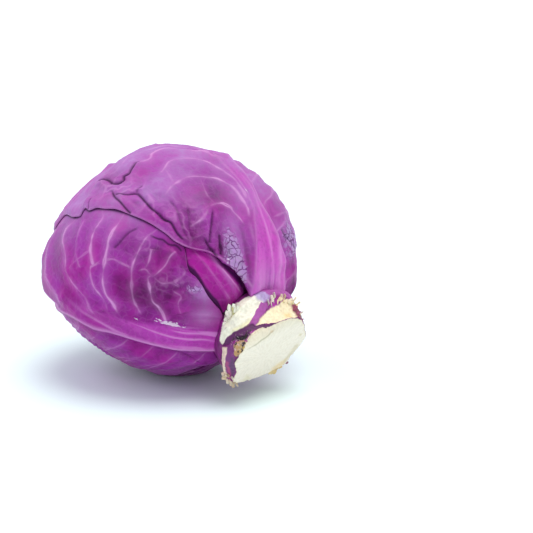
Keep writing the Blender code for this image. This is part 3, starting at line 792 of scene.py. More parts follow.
# Side veins of the parts without drawn ones: line k is where a - 0.42 |beta| - 0.0035 beta^2 = spacing
# times (k + its own shift), beta from the rib; a second set forks off and ends half-way between
def ruleVeinField(plan, a, b):
    spacing = plan["ruleSpacing"]
    beta = b - (smoothCurve(a, plan["ribMinus"]) + smoothCurve(a, plan["ribPlus"])) / 2
    away = np.abs(beta)
    slant, bow = ruleForm["slant"]
    swaySize, swayReach = ruleForm["sway"]
    phase = (a - slant * away - bow * away**2) / spacing + ruleForm["sideShift"] * (beta < 0)
    phase = phase + swaySize * np.sin(away / swayReach + plan["azimuth"])
    phase = phase + waves(ruleForm["bend"], np.stack([a, b, 0 * a], -1))
    forkFrom, forkOver, forkShows = ruleForm["fork"]
    fork = 0.5 * rise(away, forkFrom, forkOver)
    hidden = ruleForm["none"] * (1 - rise(away, forkFrom, forkShows))
    size, turnPerLine, turnPerSide = ruleForm["own"]
    nearest = np.full(a.shape, ruleForm["none"])
    for shift, weight in ((0.0, 0.0), (fork, hidden)):
        turn = phase - shift
        for step in (-1, 0, 1):
            k = np.round(turn) + step
            own = size * np.sin(k * turnPerLine + plan["azimuth"] + turnPerSide * (beta < 0))
            nearest = np.minimum(nearest, np.abs(turn - k - own) + weight)
    distance = nearest * math.radians(spacing) * ball * ruleForm["narrow"]
    taper = rise(away, *ruleForm["taper"]) * rise(edgeAt(plan, a, b), np.abs(b), ruleForm["edgeTaper"])
    return distance, taper


def tapered(share, ends):  # 1 along a line, sinking to 0 over these shares of it at its two ends
    return rise(share, 0, ends[0]) * rise(1 - share, 0, ends[1])


# What veins give a leaf, a bell across each: swellings added as (sum of swelling^4)^(1/4), fine lines on
# them, paleness with a faint halo, and how near a vein is
def veinFields(plan, points, a, b):
    swelling, core, pale, near = (np.zeros(len(points)) for _ in range(4))
    wander = waves(relief["wander"], points)
    waver = np.clip(0.9 + waves(relief["waver"], points), *relief["waverRange"])
    coreLeast, thinLeast, thinMore, haloPale, haloWidth = relief["veinLook"]
    for height, paleness, line in plan["veins"]:
        away, share = nearLine(plan, points, line, relief["veinReach"])
        away = np.abs(away + wander)
        taper = tapered(share, relief["veinEnds"])
        swelling = swelling + (height * relief["veinHeight"] * bell(away, relief["veinBroad"]) * taper) ** 4
        ridge = relief["coreHeight"] * bell(away, relief["veinCore"]) * taper
        core = np.maximum(core, (coreLeast + height) * ridge)
        thin = relief["paleWidth"] * (thinLeast + thinMore * height)
        line = bell(away, thin) + haloPale * bell(away, haloWidth * thin)
        pale = np.maximum(pale, paleness * waver * line * taper)
        near = np.maximum(near, bell(away, relief["hollowReach"]) * taper)
    toA, pastRib, fromB = plan["drawnVeins"]
    tipFade, ribStart, ribFade, sideFade = relief["drawnFades"]
    drawn = (1 - rise(a, toA, tipFade)) * rise(b, fromB, sideFade)
    drawn = drawn * (1 - rise(b - smoothCurve(a, plan["ribPlus"]), pastRib - ribStart, ribFade))
    away, taper = ruleVeinField(plan, a, b)
    taper = taper * (1 - drawn)
    height, coreShare, paleness = relief["ruleHeights"]
    swelling = swelling + (height * bell(away, relief["veinBroad"]) * taper) ** 4
    core = np.maximum(core, coreShare * relief["coreHeight"] * bell(away, relief["veinCore"]) * taper)
    haloPale, haloWidth = relief["ruleHalo"]
    halo = haloPale * bell(away, haloWidth)
    pale = np.maximum(pale, paleness * waver * (bell(away, relief["paleWidth"]) + halo) * taper)
    near = np.maximum(near, bell(away, relief["hollowReach"]) * taper)
    return swelling**0.25, core, pale, near


# What creases give a leaf: their depth, a line of painted shade and a swelling on both sides
def creaseFields(plan, points):
    depths, dark, swelling = (np.zeros(len(points)) for _ in range(3))
    thin, more = relief["shadeLineWidth"]
    for depth, width, line in plan["creases"]:
        away, share = nearLine(plan, points, line, relief["creaseReach"])
        taper = tapered(share, relief["creaseEnds"])
        cut = bell(away, width * relief["creaseWidth"]) * taper
        depths = np.maximum(depths, depth * relief["creaseDepth"] * cut)
        dark = np.maximum(dark, min(depth, 1.0) * bell(away, width * (thin + more * depth)) * taper)
        beside = bell(away - relief["pleatAway"], relief["pleatReach"])
        swelling = np.maximum(swelling, depth * relief["pleatSwell"] * beside * taper)
    return depths, dark, swelling


# The patches of each kind, bells over a and b: heights are added, colours laid over one another
def patchFields(plan, a, b):
    kinds = ("deep", "wax", "rub", "blister", "swell", "dark", "crumple", "pale")
    fields = {kind: np.zeros(a.shape) for kind in kinds}
    for kind, patches in plan["patches"].items():
        for atA, atB, reachA, reachB, strength in patches:
            field = strength * bell(a - atA, reachA) * bell(b - atB, reachB)
            laidOver = 1 - (1 - fields[kind]) * (1 - np.minimum(field, 1))
            fields[kind] = fields[kind] + field if kind == "swell" else laidOver
    return fields


# The rib's colour, a band between its lines that fades along the leaf, its grain, its pale streaks
# and a painted highlight along its crests
def ribFields(plan, points, a, b):
    low, high = smoothCurve(a, plan["ribMinus"]), smoothCurve(a, plan["ribPlus"])
    soft, over = ribForm["toneEdge"]
    fade = rise(-a, *ribForm["toneFade"])
    tone = rise(b, low - soft, over) * rise(high + soft, b, over) * fade
    along, across = ribForm["grainScale"]
    drifted = b + waves(ribForm["drift"], points)
    places = np.stack([a * along, drifted * across, 0 * a + plan["tip"]], -1)
    grain = fractalNoise(places, *ribForm["grainSeed"])
    streak = rise(grain, *ribForm["streaks"]) * keep(tone, ribForm["streaksBeside"]) * fade
    pale = ribForm["streakPale"] * streak * plan["streaks"]
    width, full = ribForm["crestHighlight"]
    ends, over = ribForm["crestFade"]
    for line, crest in zip((low, high), plan["ribCrest"]):
        # painted highlight along the rib's crests
        pale = np.maximum(pale, bell(b - line, width) * rise(-a, ends - plan["tip"], over) * crest / full)
    return tone, grain, pale


# Levels and gains are for lift, starts and lengths for rise, and single shares weigh a field
leafPaint = {
    "edgeShade": (0.85, -3.5, 2, 0.95),  # reach beside the edge, from how far under it, over, strength
    "upOver": 0.9,
    "bloomAndSheen": 0.42,
    "broadMottle": (0.6, 0.8),
    "waxMottle": (0.55, 0.9),
    "waxInDeep": 0.6,
    "foldShade": (0.35, -0.2, 0.5),
    "hollowShade": 0.35,
    "hollows": (1.25, -1.6),
    "shadeDeep": (0.5, 0.9),
    "foldHighlight": (0.40, 0.62, 0.3),
    "paleGrain": (0.85, 1.4, 1.2),
    "ribPale": 0.85,
    "rimPale": (0.45, 0.8, 26),
    "coveredPale": 0.3,
    "vein": 0.75,
    "crease": 0.95,
    "wax": 0.85,
    "rubGrain": (0.95, 1.8, 1.2),
    "ribGrain": (0.75, 0.7),
}


# Everything that a leaf's surface carries: heights above its smooth form, and the painted numbers
def leafSurface(name, plan, directions):
    points = directions * ball
    a, b = toLeaf(plan, directions)
    shown = openTo(name, directions)
    swelling, core, pale, near = veinFields(plan, points, a, b)
    depths, dark, pleats = creaseFields(plan, points)
    fields = patchFields(plan, a, b)
    ribTone, grain, ribPale = ribFields(plan, points, a, b)

    paint = leafPaint
    blister = relief["blisterLevel"] - np.abs(waves(relief["blister"], points))
    fold = 1 - np.abs(waves(relief["crumple"], points))
    patches = (relief["blisterHeight"] * fields["blister"] * blister + 0.001 * fields["swell"]
               + relief["crumpleHeight"] * fields["crumple"] * (fold - relief["crumpleLevel"]))
    rim = insideOf(plan, directions)
    lipHeight, lipReach, lipOver = relief["lip"]
    lip = lipHeight * bell(rim, lipReach) * rise(a, plan["lipFrom"], lipOver)
    sunken = relief["hollow"] * (1 - near) * rise(rim, 0, relief["hollowFrom"])
    smooth = (relief["base"] + swelling - sunken + pleats + waves(relief["roll"], points)
              + waves(relief["ripple"], points) + patches + relief["grainHeight"] * grain * ribTone)
    atEdge = keep(rise(rim, 0, relief["edgeFade"]), relief["edgeLeast"])
    smooth = np.maximum(smooth, relief["deepest"]) * keep(shown, relief["coveredLeast"]) * atEdge + lip
    fine = (core + waves(relief["pucker"], points) - depths) * shown

    reach, under, over, strength = paint["edgeShade"]
    for upper in leafPlans.values():  # painted shade along the edge of a leaf that lies over this one
        if name in upper["under"]:
            past = -insideOf(upper, directions)
            dark = np.maximum(dark, strength * bell(np.maximum(past, 0), reach) * rise(past, under, over))
    dark = np.maximum(dark, fields["dark"])
    # Painted light and shade: surfaces that face up take the wax colour as a painted sheen, and hollows that
    # face down take deep purple as painted shade
    up = rise(directions[..., 2], head["upFrom"], paint["upOver"])
    mottled = 0.5 + waves(relief["mottle"], points)
    bloomAndSheen = paint["bloomAndSheen"] * plan["bloomAndSheen"] * up * lift(mottled, *paint["broadMottle"])
    wax = 1 - (1 - fields["wax"]) * (1 - bloomAndSheen)
    wax = wax * lift(np.clip(mottled, 0, 1), *paint["waxMottle"]) * (1 - paint["waxInDeep"] * fields["deep"])
    # Deep purple: the deep patches (tone and painted shade), then painted shade in the valleys of crumpled
    # folds, in hollows between veins that face down and beside the edges of leaves above
    share, start, over = paint["foldShade"]
    deep = fields["deep"] * lift(mottled, *paint["broadMottle"])
    deep = deep + share * fields["crumple"] * rise(-fold, start, over)
    deep = deep + paint["hollowShade"] * smoothStep(lift(near, *paint["hollows"])) * (1 - ribTone) * (1 - up)
    share, width = paint["shadeDeep"]
    deep = deep + share * bell(dark - 1, width) * dark
    # painted highlight on the crests of crumpled folds
    share, start, over = paint["foldHighlight"]
    pale = np.maximum(pale, share * fields["crumple"] * rise(fold, start, over) * shown)
    pale = np.maximum(pale, fields["pale"] * lift(grain, *paint["paleGrain"]))
    share, width, start = paint["rimPale"]
    pale = np.maximum(np.maximum(pale, paint["ribPale"] * ribPale), share * bell(rim, width) * (a > start))
    numbers = {
        "vein": paint["vein"] * np.clip(pale, 0, 1) * keep(shown, paint["coveredPale"]),
        "crease": paint["crease"] * dark,
        "wax": paint["wax"] * np.clip(wax, 0, 1),
        "deep": deep,
        "rub": fields["rub"] * lift(grain, *paint["rubGrain"]),
        "blister": fields["blister"],
        "rib": ribTone * lift(grain, *paint["ribGrain"]),
    }
    return smooth, fine, {label: np.clip(values, 0, 1) for label, values in numbers.items()}


def gridTriangles(grid):  # two triangles for each square of a grid of point numbers
    p, q, r, s = grid[:-1, :-1], grid[:-1, 1:], grid[1:, 1:], grid[1:, :-1]
    return np.concatenate([np.stack([p, q, r], -1).reshape(-1, 3), np.stack([p, r, s], -1).reshape(-1, 3)])


# Triangles of a leaf: a fine outer grid, an inner grid of every fourth point, and a rim that joins them
def leafTriangles(rows, columns):
    outer = np.arange((rows + 1) * (columns + 1)).reshape(rows + 1, columns + 1)
    few = (rows // 4 + 1, columns // 4 + 1)
    inner = outer.size + np.arange(few[0] * few[1]).reshape(few)

    def rimOf(grid):
        return np.concatenate([grid[0, :-1], grid[:-1, -1], grid[-1, :0:-1], grid[:0:-1, 0]])

    fine, coarse = rimOf(outer), rimOf(inner)
    fine = np.append(fine, fine[0])
    one, two = coarse, np.roll(coarse, -1)
    k = 4 * np.arange(len(coarse))
    joins = [np.stack([fine[k + i], fine[k + i + 1], one if i < 2 else two], -1) for i in range(4)]
    joins.append(np.stack([one, fine[k + 2], two], -1))
    return np.concatenate([gridTriangles(outer)[:, ::-1], gridTriangles(inner), *joins])


# One leaf: its outer face on the leaves beneath, raised by relief and rib, its inner face a thickness lower
def makeLeaf(name, plan):
    rows, (minusColumns, plusColumns) = plan["rows"], plan["columns"]
    u = np.interp(np.linspace(0, 1, rows + 1), (0, 0.74, 1), (0, 0.60, 1))  # closer rows near the stem
    v = np.concatenate([np.linspace(-1, 0, minusColumns + 1), np.linspace(0, 1, plusColumns + 1)[1:]])
    directions = leafGrid(plan, u, v)
    shape = directions.shape[:2]
    flat = directions.reshape(-1, 3)
    low = underside(name, flat)
    smooth, fine, numbers = leafSurface(name, plan, flat)
    rib = shownRib(name, flat)
    thickness = np.full(shape, head["thickness"])
    thickness[0], thickness[-1], thickness[:, 0], thickness[:, -1] = (0.4 * head["thickness"],) * 4
    inset = plan["layersBelow"] * (head["thickness"] + head["gap"])
    outer = low + smooth + rib + thickness.ravel() + np.maximum(fine, relief["finest"])
    outer = keptAboveFloor(flat, outer, inset)
    inner = keptAboveFloor(flat, low + smooth + 0.6 * rib, inset + head["thickness"])
    picked = np.arange(len(flat)).reshape(shape)[::4, ::4].ravel()
    points = np.concatenate([flat * outer[:, None], flat[picked] * inner[picked, None]]) + headCentre
    numbers = {label: np.concatenate([values, 0.4 * values[picked]]) for label, values in numbers.items()}
    makePiece(name + "_skin", points, leafTriangles(rows, minusColumns + plusColumns), numbers,
              leafFinish(name + "_finish", plan["tint"]), name)


for leafName, leafPlan in leafPlans.items():
    makeLeaf(leafName, leafPlan)
print("leaves done")


# Packed inner head

packedLooks = {
    "magenta": (0.34, 0.030, 0.28),
    "violet": (0.32, 0.045, 0.30),
    "rib": (0.40, 0.080, 0.37),
    "rows": 120,
    "columns": 160,
    "socketRings": 12,
    "folds": (0.0004, 3, 0.06),
    "deep": (0.35, (0.3, 0.02, 21, 3)),
}
coreShape = {"tip": -0.0100, "end": 0.0600, "radius": 0.0160, "socketGap": 0.0006}


def coreRadius(distance):  # the stem inside the head: a cone from its blunt tip
    t = np.clip((distance - coreShape["tip"]) / (coreShape["end"] - coreShape["tip"]), 0, 1)
    return coreShape["radius"] * (0.16 + 0.84 * t**0.95)


def circle(side):  # angles of the points of a ring
    return np.linspace(0, 2 * math.pi, side, endpoint=False)


# Points of rings at these radii from the stem's axis and distances along it
def ringPoints(radius, distance, azimuths):
    ring = np.multiply.outer(np.cos(azimuths), floorSide) + np.multiply.outer(np.sin(azimuths), sideways)
    return radius[..., None] * ring + distance[..., None] * stemAxis


# Triangles of a closed body made of rings between a first and a last point
def ringTriangles(ringCount, side):
    grid = 1 + np.arange(ringCount * side).reshape(ringCount, side)
    grid = np.concatenate([grid, grid[:, :1]], 1)
    last = ringCount * side + 1
    start = np.stack([np.zeros(side, int), grid[0, 1:], grid[0, :-1]], -1)
    end = np.stack([np.full(side, last), grid[-1, :-1], grid[-1, 1:]], -1)
    return np.concatenate([gridTriangles(grid), start, end])


# The ball of packed leaves, r = head radius - inset + small folds, with a socket for the stem's core
def makePackedHead():
    side, rows = packedLooks["columns"], packedLooks["rows"]
    azimuths = circle(side)
    gap = coreShape["socketGap"]
    depth = np.linspace(coreShape["tip"] - gap, coreShape["end"], packedLooks["socketRings"])
    hole = np.repeat((coreRadius(depth + gap) + gap)[:, None], side, 1)
    socket = ringPoints(hole, np.repeat(depth[:, None], side, 1), azimuths)
    share, psi = np.meshgrid(np.linspace(0, 1, rows)[:-1], np.degrees(azimuths), indexing="ij")
    theta = (neckDegrees(psi) + 2 * head["leafClear"]) * (1 - share) + 180 * share
    directions = fromPolar(theta, psi)
    size, around, along = packedLooks["folds"]
    folds = size * np.sin(np.radians(around * psi) + along * theta) - size
    layer = head["thickness"] + head["gap"]
    radius = headRadius(directions) - head["innerInset"] + folds
    radius = keptAboveFloor(directions, radius, 2 * layer + head["gap"])
    rings = np.concatenate([socket, directions * radius[..., None]])
    first = stemAxis * (coreShape["tip"] - 2 * gap)
    last = -stemAxis * (headRadius(-stemAxis) - head["innerInset"] - 1.5 * size)
    points = np.concatenate([[first], rings.reshape(-1, 3), [last]])
    labels = ("vein", "crease", "wax", "deep", "rub", "blister", "rib")
    numbers = {label: np.zeros(len(points)) for label in labels}
    least, row = packedLooks["deep"]
    numbers["deep"] = least + waves(row, points)
    makePiece("inner_head_skin", points + headCentre, ringTriangles(len(rings), side)[:, ::-1], numbers,
              leafFinish("inner_head_finish", packedLooks), "inner_head")


makePackedHead()


# Stem

stemShape = {
    "neckInner": 0.0715,
    "neckOuter": 0.0790,
    "side": 480,
    "outlines": (
        (0.086, ((-146, 0.0272), (-120, 0.0258), (-95, 0.026), (-70, 0.025), (-40, 0.024), (0, 0.0215),
            (40, 0.025), (75, 0.028), (100, 0.0305), (128, 0.0295), (150, 0.0265), (178, 0.026))),
        (0.092, ((-161, 0.0259), (-148, 0.0268), (-137, 0.0274), (-128, 0.0263), (-117, 0.0229),
            (-96, 0.0243), (-71, 0.021), (-50, 0.0238), (-26, 0.0195), (6, 0.0182), (26, 0.0197),
            (45, 0.0228), (60, 0.0274), (73, 0.0277), (83, 0.0298), (96, 0.0327), (102, 0.0332),
            (114, 0.0309), (128, 0.0302), (146, 0.0289), (162, 0.0266), (-177, 0.0252))),
    ),
    "skin": (0.26, 0.012, 0.215),
    "cutFace": (0.915, 0.81, 0.70),
    "flares": ((126, 0.40, 26, 1.0, 5.8), (-142, 0.15, 9, 0.25, 1.2), (160, 0.2, 16, 0.4, 0.8)),
    "rimTone": (0.84, 0.74, 0.52),
    "shoulder": 0.0013,
    "shoulderFade": (-0.4, 0.4),
    "marksFrom": (-0.1, 0.4),
    "fleckLight": (1.0, 0.28),
    "rayLight": (0.99, 0.10),
    "roughness": 0.55,
    "rings": (8, 12, 76, 64),  # of the core, the neck, the side and the cut face
    "freeSide": (221, 15, 5),  # no shoulder round this azimuth, within and over so many degrees
    "raggedFrom": (1.55, 0.45),
    "faceEdge": (0.07, 0.0006),  # share of the face over which its edge is rounded, and how far
    "faceBevel": (0.0010, 0.16, (9, 8), (-8, 10)),  # how far, share of the face, and where, in mm
}

# Noises of the stub, (strength, spacing, seed, octaves): spacings in metres, strengths of warp, lumps and
# bumps in mm, of ragged and rough in metres, of the others a share
stemNoise = {
    "warpX": (1.3, 0.0035, 41, 3),
    "warpY": (1.3, 0.0035, 45, 3),
    "tone": (1.2, 0.006, 49, 3),
    "lumps": (0.45, 0.0030, 53, 3),
    "bumps": (0.7, 0.0090, 57, 2),
    "ragged": (0.0011, 0.0022, 61, 3),
    "flecks": (1.0, 0.0011, 65, 2),
    "specks": (1.0, 0.0013, 67, 2),
    "web": (1.0, 0.0017, 69, 2),
    "wobble": (1.0, 0.004, 71, 3),
    "rays": (1.0, 0.004, 75, 2),
    "rough": (0.00035, 0.006, 79, 3),
    "shredTone": (0.5, 0.0012, 83, 2),
}

# Marks round the stub, in order, later ones on top: (colour, height in mm, softness in mm, strength,
# outline as (azimuth, s)), s 0 at the neck, 1 half-way, 2 at the cut
stemMarks = (
    ((0.72, 0.58, 0.4), -0.6, 0.6, 1.0, ((-52, 0.3), (-30, 0.15), (-5, 0.3), (2, 1.2), (-8, 1.85),
        (-40, 1.85), (-50, 1.2))),
    ((0.74, 0.66, 0.44), -0.7, 0.6, 1.0, ((10, 0.3), (30, 0.1), (48, 0.3), (52, 1.2), (44, 1.9), (16, 1.9),
        (8, 1.2))),
    ((0.78, 0.68, 0.47), -0.8, 0.6, 1.0, ((-296, 0.3), (-275, 0.1), (-250, 0.3), (-246, 1.2), (-256, 1.9),
        (-290, 1.9), (-299, 1.2))),
    ((0.885, 0.84, 0.71), -0.5, 0.35, 1.0, ((-143, -0.9), (-132, -0.9), (-126, -0.5), (-115, -0.16),
        (-102, 0.1), (-101, 0.36), (-116, 0.38), (-129, 0.62), (-138, 0.82), (-146, 0.9), (-155, 0.78),
        (-168, 0.52), (-181, 0.28), (-176, -0.2), (-169, -0.5), (-157, -0.6), (-150, -0.9))),
    ((0.78, 0.72, 0.36), 0.0, 1.6, 0.65, ((-122, 0.42), (-129, 0.62), (-138, 0.82), (-146, 0.9), (-155, 0.78),
        (-146, 0.72), (-137, 0.6), (-128, 0.42))),
    ((0.5, 0.44, 0.2), 0.0, 0.8, 0.6, ((-136, -0.35), (-133, -0.2), (-137, -0.05), (-141, -0.25))),
    ((0.92, 0.78, 0.53), -0.5, 0.35, 1.0, ((-150, 1.38), (-160, 1.04), (-171, 0.86), (-183, 0.72),
        (-200, 0.62), (-212, 0.45), (-227, 0.4), (-231, 0.9), (-224, 1.5), (-212, 1.95), (-196, 1.95),
        (-180, 1.92), (-164, 1.58))),
    ((0.8, 0.56, 0.18), 0.0, 1.6, 0.6, ((-196, 1.6), (-204, 1.0), (-214, 1.1), (-212, 1.8))),
    ((0.345, 0.055, 0.32), 0.5, 0.35, 1.0, ((-176, 0.3), (-185, 0.5), (-172, 0.84), (-160, 1.04),
        (-150, 1.42), (-145, 0.98), (-155, 0.78), (-167, 0.54))),
    ((0.46, 0.34, 0.62), 0.4, 0.8, 0.9, ((-175, -0.5), (-187, -0.3), (-194, 0.2), (-188, 0.42), (-180, 0.36),
        (-174, 0.1))),
    ((0.38, 0.07, 0.345), 0.3, 0.6, 1.0, ((-187, -0.9), (-240, -0.9), (-236, 0.25), (-222, 0.36),
        (-210, 0.26), (-196, 0.34), (-188, 0.1))),
    ((0.24, 0.035, 0.085), 0.5, 0.4, 1.0, ((-218, 0.75), (-226, 0.7), (-238, 1.2), (-240, 1.9), (-232, 1.95),
        (-222, 1.5))),
    ((0.105, 0.012, 0.1), -0.5, 0.35, 1.0, ((-102, 0.42), (-116, 0.4), (-127, 0.58), (-138, 0.84),
        (-145, 0.96), (-150, 1.42), (-163, 1.7), (-179, 1.97), (-176, 2.05), (-157, 2.0), (-145, 1.55),
        (-136, 1.62), (-129, 1.38), (-118, 0.9), (-107, 0.72))),
    # a fissure sunk 1.6 mm, painted near black as the shade inside it
    ((0.015, 0.006, 0.012), -1.6, 0.5, 1.0, ((-121, 0.82), (-127, 0.98), (-133, 1.4), (-139, 1.6),
        (-128, 1.62), (-122, 1.14))),
    ((0.19, 0.028, 0.18), 0.1, 0.35, 1.0, ((-107, 0.72), (-114, 1.02), (-106, 1.36), (-101, 1.9), (-95, 1.94),
        (-79, 2.0), (-55, 2.0), (-54, 1.46), (-72, 1.3), (-90, 1.12), (-99, 0.9))),
    ((0.1, 0.04, 0.12), -0.2, 0.8, 0.8, ((-100, 1.5), (-84, 1.45), (-68, 1.6), (-60, 1.8), (-76, 1.98),
        (-98, 1.9))),
    ((0.4, 0.06, 0.2), 0.3, 0.5, 1.0, ((-88, 1.16), (-72, 1.34), (-54, 1.5), (-54, 1.75), (-70, 1.6),
        (-90, 1.34))),
    ((0.84, 0.68, 0.54), 0.3, 0.5, 1.0, ((-98, 0.4), (-104, 0.78), (-99, 0.96), (-84, 1.14), (-68, 1.16),
        (-56, 1.3), (-54, 1.0), (-66, 0.76), (-86, 0.62))),
    ((0.5, 0.29, 0.125), 0.9, 0.5, 1.0, ((-113, 1.1), (-119, 1.08), (-125, 1.46), (-128, 1.98), (-121, 2.1),
        (-111, 2.1), (-103, 1.84), (-106, 1.44))),
    ((0.62, 0.42, 0.1), 0.2, 0.6, 0.8, ((-112, 1.7), (-118, 1.6), (-120, 2.0), (-110, 2.1))),
    ((0.78, 0.66, 0.5), 0.2, 0.4, 1.0, ((-129, 1.8), (-136, 1.78), (-146, 1.78), (-157, 1.97), (-150, 2.2),
        (-130, 2.2))),
)

# Rot and grit between the scars and round the brown knob, its outline as (azimuth, s)
stemGrit = {
    "outline": ((-112, 0.7), (-122, 0.72), (-134, 1.05), (-142, 1.3), (-146, 1.62), (-134, 1.85),
        (-128, 2.05), (-106, 2.05), (-104, 1.5), (-110, 1.05)),
    "softness": 1.0,
    "dark": (0.035, 0.012, 0.020),
    "darkRange": (0.02, 0.12),
    "light": (0.66, 0.50, 0.52),
    "fibreWidth": 0.035,  # half width of the web of pale fibres, in noise
}

# Marks on the cut face: (colour, height in mm, softness in mm, strength, outline in mm towards the floor
# and sideways)
cutMarks = (
    ((0.7, 0.6, 0.38), 0.0, 5.0, 0.35, ((-30, -30), (-12, -30), (-18, -4), (-20, 8), (-22, 30), (-30, 30))),
    ((0.92, 0.76, 0.58), 0.0, 1.5, 0.4, ((-12, -24), (-11.4, -18.6), (-15.0, -12.0), (-19, -7), (-24, -5),
        (-26, -14))),
    ((0.43, 0.35, 0.21), -0.3, 0.9, 0.75, ((-10.6, -18.6), (-11.2, -17.0), (-13.6, -12.0), (-16.8, -7.6),
        (-20.4, -2.4), (-21.2, -3.0), (-17.8, -8.6), (-14.2, -13.2))),
    ((0.66, 0.4, 0.2), 0.1, 0.8, 0.6, ((-20.0, -5.6), (-21.6, -4.6), (-21.2, -2.4), (-19.8, -3.6))),
    ((0.5, 0.4, 0.16), 0.0, 0.9, 0.5, ((-10.0, 25.4), (-8.4, 25.2), (-7.6, 27.0), (-9.4, 27.4))),
    ((0.62, 0.5, 0.28), 0.0, 1.4, 0.45, ((-2, 26.0), (6, 21.5), (11.5, 19.5), (13.0, 21.5), (7, 25.5),
        (0, 29.5))),
    ((0.84, 0.58, 0.24), 0.0, 2.2, 0.6, ((13, 12.5), (18, 12), (20, 17), (13, 21), (8.5, 22), (10, 18))),
    ((0.74, 0.66, 0.36), 0.0, 2.0, 0.4, ((12.0, -9.5), (15.0, -4.0), (17.5, -6.0), (16.0, -12.0))),
)

# Shreds of leaf base that stand off the stub: (azimuth, s, length, width, lean to the cut, sideways turn,
# colour), in mm and degrees
stemShreds = (
    (-145, -0.1, 6.4, 3.4, -10, -5, (0.92, 0.88, 0.76)), (-139, -0.2, 8.6, 3.4, -10, -12, (0.93, 0.86, 0.74)),
    (-135.5, -0.2, 6.4, 3.2, -10, -5, (0.92, 0.8, 0.74)), (-131, -0.25, 3.0, 3.4, -10, 5, (0.9, 0.84, 0.74)),
    (-150, -0.05, 3.2, 3.4, -8, 5, (0.93, 0.9, 0.76)), (-142, -0.12, 5.6, 1.6, -6, -8, (0.62, 0.56, 0.26)),
    (-126, -0.2, 2.4, 3.0, -5, 8, (0.9, 0.84, 0.76)), (-122, 0.05, 2.0, 2.6, 5, 0, (0.9, 0.84, 0.74)),
    (175, 0.5, 3.0, 3.0, -10, 10, (0.92, 0.86, 0.7)), (170, 0.46, 4.2, 4.6, -15, -10, (0.93, 0.88, 0.7)),
    (165, 0.36, 4.6, 3.6, -5, 15, (0.94, 0.9, 0.74)), (160, 0.46, 3.6, 3.6, 10, -15, (0.92, 0.8, 0.5)),
    (155, 0.36, 3.4, 3.0, 5, 10, (0.9, 0.82, 0.56)), (149, 0.44, 3.4, 3.2, -10, 15, (0.88, 0.76, 0.48)),
    (143, 0.5, 3.0, 3.6, 10, -10, (0.9, 0.82, 0.6)), (137, 0.58, 4.4, 2.6, -10, -10, (0.88, 0.8, 0.52)),
    (133, 0.7, 3.6, 3.0, 5, 10, (0.88, 0.76, 0.46)), (139, 0.86, 2.8, 3.0, 15, 10, (0.36, 0.06, 0.14)),
    (135, 1.05, 2.6, 3.0, 20, -10, (0.38, 0.08, 0.2)), (130, 1.2, 3.0, 2.0, 5, 10, (0.84, 0.72, 0.58)),
    (126, 1.45, 2.0, 2.6, 30, 10, (0.34, 0.06, 0.18)), (118, 1.65, 1.6, 2.4, 40, 0, (0.44, 0.12, 0.28)),
    (-61, 1.0, 2.6, 3.0, 10, -15, (0.84, 0.72, 0.58)), (-56, 1.2, 3.4, 2.6, -5, 10, (0.74, 0.58, 0.38)),
    (-50, 1.38, 3.0, 3.4, 10, 15, (0.84, 0.72, 0.56)), (-62, 1.45, 2.4, 2.6, 15, -20, (0.64, 0.48, 0.3)),
    (-46, 1.58, 3.0, 3.0, 15, 10, (0.82, 0.68, 0.5)), (-53, 1.7, 3.4, 3.4, 25, -10, (0.84, 0.7, 0.54)),
    (-47, 1.86, 3.2, 3.0, 20, 5, (0.78, 0.6, 0.4)), (-60, 1.82, 2.6, 3.0, 30, -15, (0.86, 0.76, 0.62)),
    (-41, 1.88, 2.2, 2.6, 35, 5, (0.8, 0.66, 0.48)), (44, 1.86, 3.2, 5.4, 15, -10, (0.84, 0.6, 0.26)),
    (52, 1.84, 2.6, 5.0, 10, 15, (0.82, 0.56, 0.22)), (62, 1.85, 2.0, 3.4, 20, 10, (0.34, 0.12, 0.18)),
    (37, 1.92, 1.6, 3.0, 30, 5, (0.82, 0.64, 0.34)),
)


def aroundStem(azimuth, knots):  # a closed smooth line through (azimuth, radius) knots
    around = sorted((turn + each, radius) for turn in (-360, 0, 360) for each, radius in knots)
    return smoothCurve((azimuth + 180) % 360 - 180, around)


# Radius from the stem's axis and distance along it of the stub's side: straight from ring to ring, s from
# -1 (inside the neck) through 0 (neck) and 1 (middle) to 2 (cut)
def stubSide(s, degrees):
    neck = np.radians(neckDegrees(degrees))
    inner, outer = stemShape["neckInner"], stemShape["neckOuter"]
    (middle, middleKnots), (cut, cutKnots) = stemShape["outlines"]
    rings = [(inner * np.sin(neck), inner * np.cos(neck)), (outer * np.sin(neck), outer * np.cos(neck)),
             (aroundStem(degrees, middleKnots), middle), (aroundStem(degrees, cutKnots), cut)]
    radius, distance = rings[0][0] + 0 * s, rings[0][1] + 0 * s
    for k in range(3):
        t = np.clip(s + 1 - k, 0, 1)
        radius = radius + t * (rings[k + 1][0] - rings[k][0])
        distance = distance + t * (rings[k + 1][1] - rings[k][1])
    return radius, distance


def flareOut(s, degrees):  # how far the stub swells out here
    total = 0
    for atAzimuth, atS, reachAzimuth, reachS, rise in stemShape["flares"]:
        turned = (degrees - atAzimuth + 180) % 360 - 180
        total = total + 0.001 * rise * bell(turned, reachAzimuth) * bell(s - atS, reachS)
    return total * (s > -0.9)


